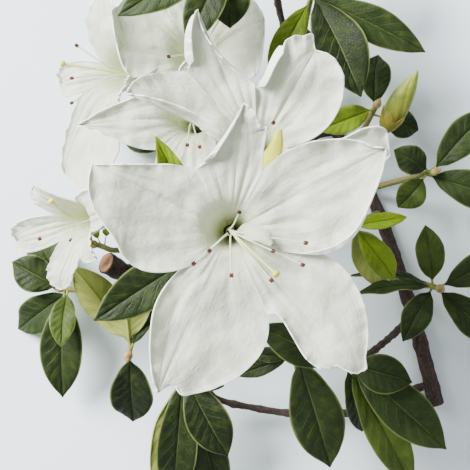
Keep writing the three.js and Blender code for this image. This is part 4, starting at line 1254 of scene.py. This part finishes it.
def make_stage(settings):
    bpy.ops.mesh.primitive_plane_add(size=FLOOR_SIZE, location=(0, 0, FLOOR_TOP))
    floor = bpy.context.object
    floor.name = "floor"
    colours = (settings.floor_low, settings.floor_high)
    dress(floor, once("floor", speckled_material, *colours, scale=3, roughness=0.9))
    world = bpy.data.worlds.new("studio")
    world.use_nodes = True
    sky = world.node_tree.nodes["Background"]
    sky.inputs["Color"].default_value = SKY_COLOUR
    sky.inputs["Strength"].default_value = settings.sky
    bpy.context.scene.world = world
    studio_light("key", settings.key, *KEY_LAMP)
    studio_light("fill", settings.fill, *FILL_LAMP)
    camera = bpy.data.cameras.new("camera")
    camera.lens = CAMERA_LENS
    camera.sensor_width = 36
    camera.clip_start = 0.01
    holder = bpy.data.objects.new("camera", camera)
    holder.location = CAMERA_PLACE
    bpy.context.scene.collection.objects.link(holder)
    bpy.context.scene.camera = holder


# SETTINGS


class AzaleaWoodSettings(bpy.types.PropertyGroup):
    """Bark of the stem and its twigs."""

    relief: bpy.props.FloatProperty(
        name="Bark relief", description="How deep the cracks and lumps of the bark are",
        default=1.0, min=0, max=2, unit="NONE",
    )


class AzaleaBloomSettings(bpy.types.PropertyGroup):
    """Petals of the open blooms."""

    petal_thickness: bpy.props.FloatProperty(
        name="Petal thickness", description="How thick a petal is",
        default=0.4 * MM, min=0.1 * MM, max=MM, unit="LENGTH", subtype="DISTANCE",
    )
    frill: bpy.props.FloatProperty(
        name="Frill", description="How much the margins of the petals wave and curl",
        default=1.0, min=0, max=3, unit="NONE",
    )
    crumple: bpy.props.FloatProperty(
        name="Crumple", description="How deep the pleats and dents of the petals are",
        default=1.0, min=0, max=3, unit="NONE",
    )


class AzaleaLeafSettings(bpy.types.PropertyGroup):
    """Blades of the leaves."""

    blade_thickness: bpy.props.FloatProperty(
        name="Blade thickness", description="How thick a leaf is",
        default=0.42 * MM, min=0.2 * MM, max=MM, unit="LENGTH", subtype="DISTANCE",
    )
    vein_depth: bpy.props.FloatProperty(
        name="Vein depth", description="How deep the veins are sunk into a leaf",
        default=0.28 * MM, min=0, max=MM, unit="LENGTH", subtype="DISTANCE",
    )
    curl: bpy.props.FloatProperty(
        name="Curl", description="How far the margins of a leaf wave and roll",
        default=0.55 * MM, min=0, max=3 * MM, unit="LENGTH", subtype="DISTANCE",
    )


class AzaleaStageSettings(bpy.types.PropertyGroup):
    """Floor and light round the branch."""

    floor_low: bpy.props.FloatVectorProperty(
        name="Floor, darker", description="Darker colour of the floor",
        default=(0.8, 0.9, 1.0), size=3, min=0, max=1, subtype="COLOR",
    )
    floor_high: bpy.props.FloatVectorProperty(
        name="Floor, paler", description="Paler colour of the floor",
        default=(0.84, 0.93, 1.0), size=3, min=0, max=1, subtype="COLOR",
    )
    key: bpy.props.FloatProperty(
        name="Key light", description="Power of the lamp at the upper left",
        default=95.0, min=0, unit="POWER",
    )
    fill: bpy.props.FloatProperty(
        name="Fill light", description="Power of the lamp at the lower right",
        default=4.0, min=0, unit="POWER",
    )
    sky: bpy.props.FloatProperty(
        name="Sky", description="Strength of the even light from all round",
        default=0.5, min=0, unit="NONE",
    )


# OPERATORS


class AZALEA_OT_stage(bpy.types.Operator):
    """Makes the floor, the lamps and the camera."""

    bl_idname = "azalea.stage"
    bl_label = "Stage"

    def execute(self, context):
        make_stage(context.scene.azalea_stage)
        return {"FINISHED"}


class AZALEA_OT_wood(bpy.types.Operator):
    """Makes the stem and its twigs."""

    bl_idname = "azalea.wood"
    bl_label = "Stem and twigs"

    def execute(self, context):
        relief = context.scene.azalea_wood.relief
        for name, spec in LIMBS.items():
            wood_piece(name, limb_line(name), spec["radii"], relief, cut_ends="limb" not in spec)
        return {"FINISHED"}


class AZALEA_OT_stub(bpy.types.Operator):
    """Makes the stub of a pruned branch."""

    bl_idname = "azalea.stub"
    bl_label = "Pruned stub"

    def execute(self, context):
        pruned_stub(context.scene.azalea_wood.relief)
        return {"FINISHED"}


class AZALEA_OT_petals(bpy.types.Operator):
    """Makes the petals of each bloom."""

    bl_idname = "azalea.petals"
    bl_label = "Petals"

    def execute(self, context):
        for name, bloom in BLOOMS.items():
            corolla(name, bloom, context.scene.azalea_bloom)
        return {"FINISHED"}


class AZALEA_OT_stamens(bpy.types.Operator):
    """Makes the style and stamens of each bloom."""

    bl_idname = "azalea.stamens"
    bl_label = "Stamens"

    def execute(self, context):
        for name, bloom in BLOOMS.items():
            stamens(name, bloom)
        return {"FINISHED"}


class AZALEA_OT_stalks(bpy.types.Operator):
    """Makes the stalk and green cup of each bloom."""

    bl_idname = "azalea.stalks"
    bl_label = "Flower stalks"

    def execute(self, context):
        for name, bloom in BLOOMS.items():
            stalk(name, bloom)
        return {"FINISHED"}


class AZALEA_OT_leaves(bpy.types.Operator):
    """Makes each mass of leaves with its shoot."""

    bl_idname = "azalea.leaves"
    bl_label = "Leaves"

    def execute(self, context):
        for order, (name, spec) in enumerate(WHORLS.items()):
            leaf_mass(name, spec, order, context.scene.azalea_leaf)
        return {"FINISHED"}


class AZALEA_OT_bud(bpy.types.Operator):
    """Makes the closed flower bud."""

    bl_idname = "azalea.bud"
    bl_label = "Flower bud"

    def execute(self, context):
        flower_bud()
        return {"FINISHED"}


class AZALEA_PT_panel(bpy.types.Panel):
    """Settings and steps of the azalea branch."""

    bl_idname = "AZALEA_PT_panel"
    bl_label = "Azalea branch"
    bl_space_type = "VIEW_3D"
    bl_region_type = "UI"
    bl_category = "Azalea"

    def draw(self, context):
        layout = self.layout
        for name, group in SETTINGS.items():
            box = layout.box()
            for key in group.__annotations__:
                box.prop(getattr(context.scene, name), key)
        for operator in OPERATORS:
            layout.operator(operator.bl_idname)


SETTINGS = {
    "azalea_wood": AzaleaWoodSettings,
    "azalea_bloom": AzaleaBloomSettings,
    "azalea_leaf": AzaleaLeafSettings,
    "azalea_stage": AzaleaStageSettings,
}
OPERATORS = (
    AZALEA_OT_stage,
    AZALEA_OT_wood,
    AZALEA_OT_stub,
    AZALEA_OT_stalks,
    AZALEA_OT_petals,
    AZALEA_OT_stamens,
    AZALEA_OT_leaves,
    AZALEA_OT_bud,
)


def register():
    for group in SETTINGS.values():
        bpy.utils.register_class(group)
    for operator in OPERATORS:
        bpy.utils.register_class(operator)
    bpy.utils.register_class(AZALEA_PT_panel)
    for name, group in SETTINGS.items():
        setattr(bpy.types.Scene, name, bpy.props.PointerProperty(type=group))


def unregister():
    for name in SETTINGS:
        delattr(bpy.types.Scene, name)
    bpy.utils.unregister_class(AZALEA_PT_panel)
    for operator in reversed(OPERATORS):
        bpy.utils.unregister_class(operator)
    for group in reversed(SETTINGS.values()):
        bpy.utils.unregister_class(group)


def main():
    register()
    bpy.ops.azalea.stage()
    bpy.ops.azalea.wood()
    bpy.ops.azalea.stub()
    bpy.ops.azalea.stalks()
    bpy.ops.azalea.petals()
    bpy.ops.azalea.stamens()
    bpy.ops.azalea.leaves()
    bpy.ops.azalea.bud()


if __name__ == "__main__":
    main()
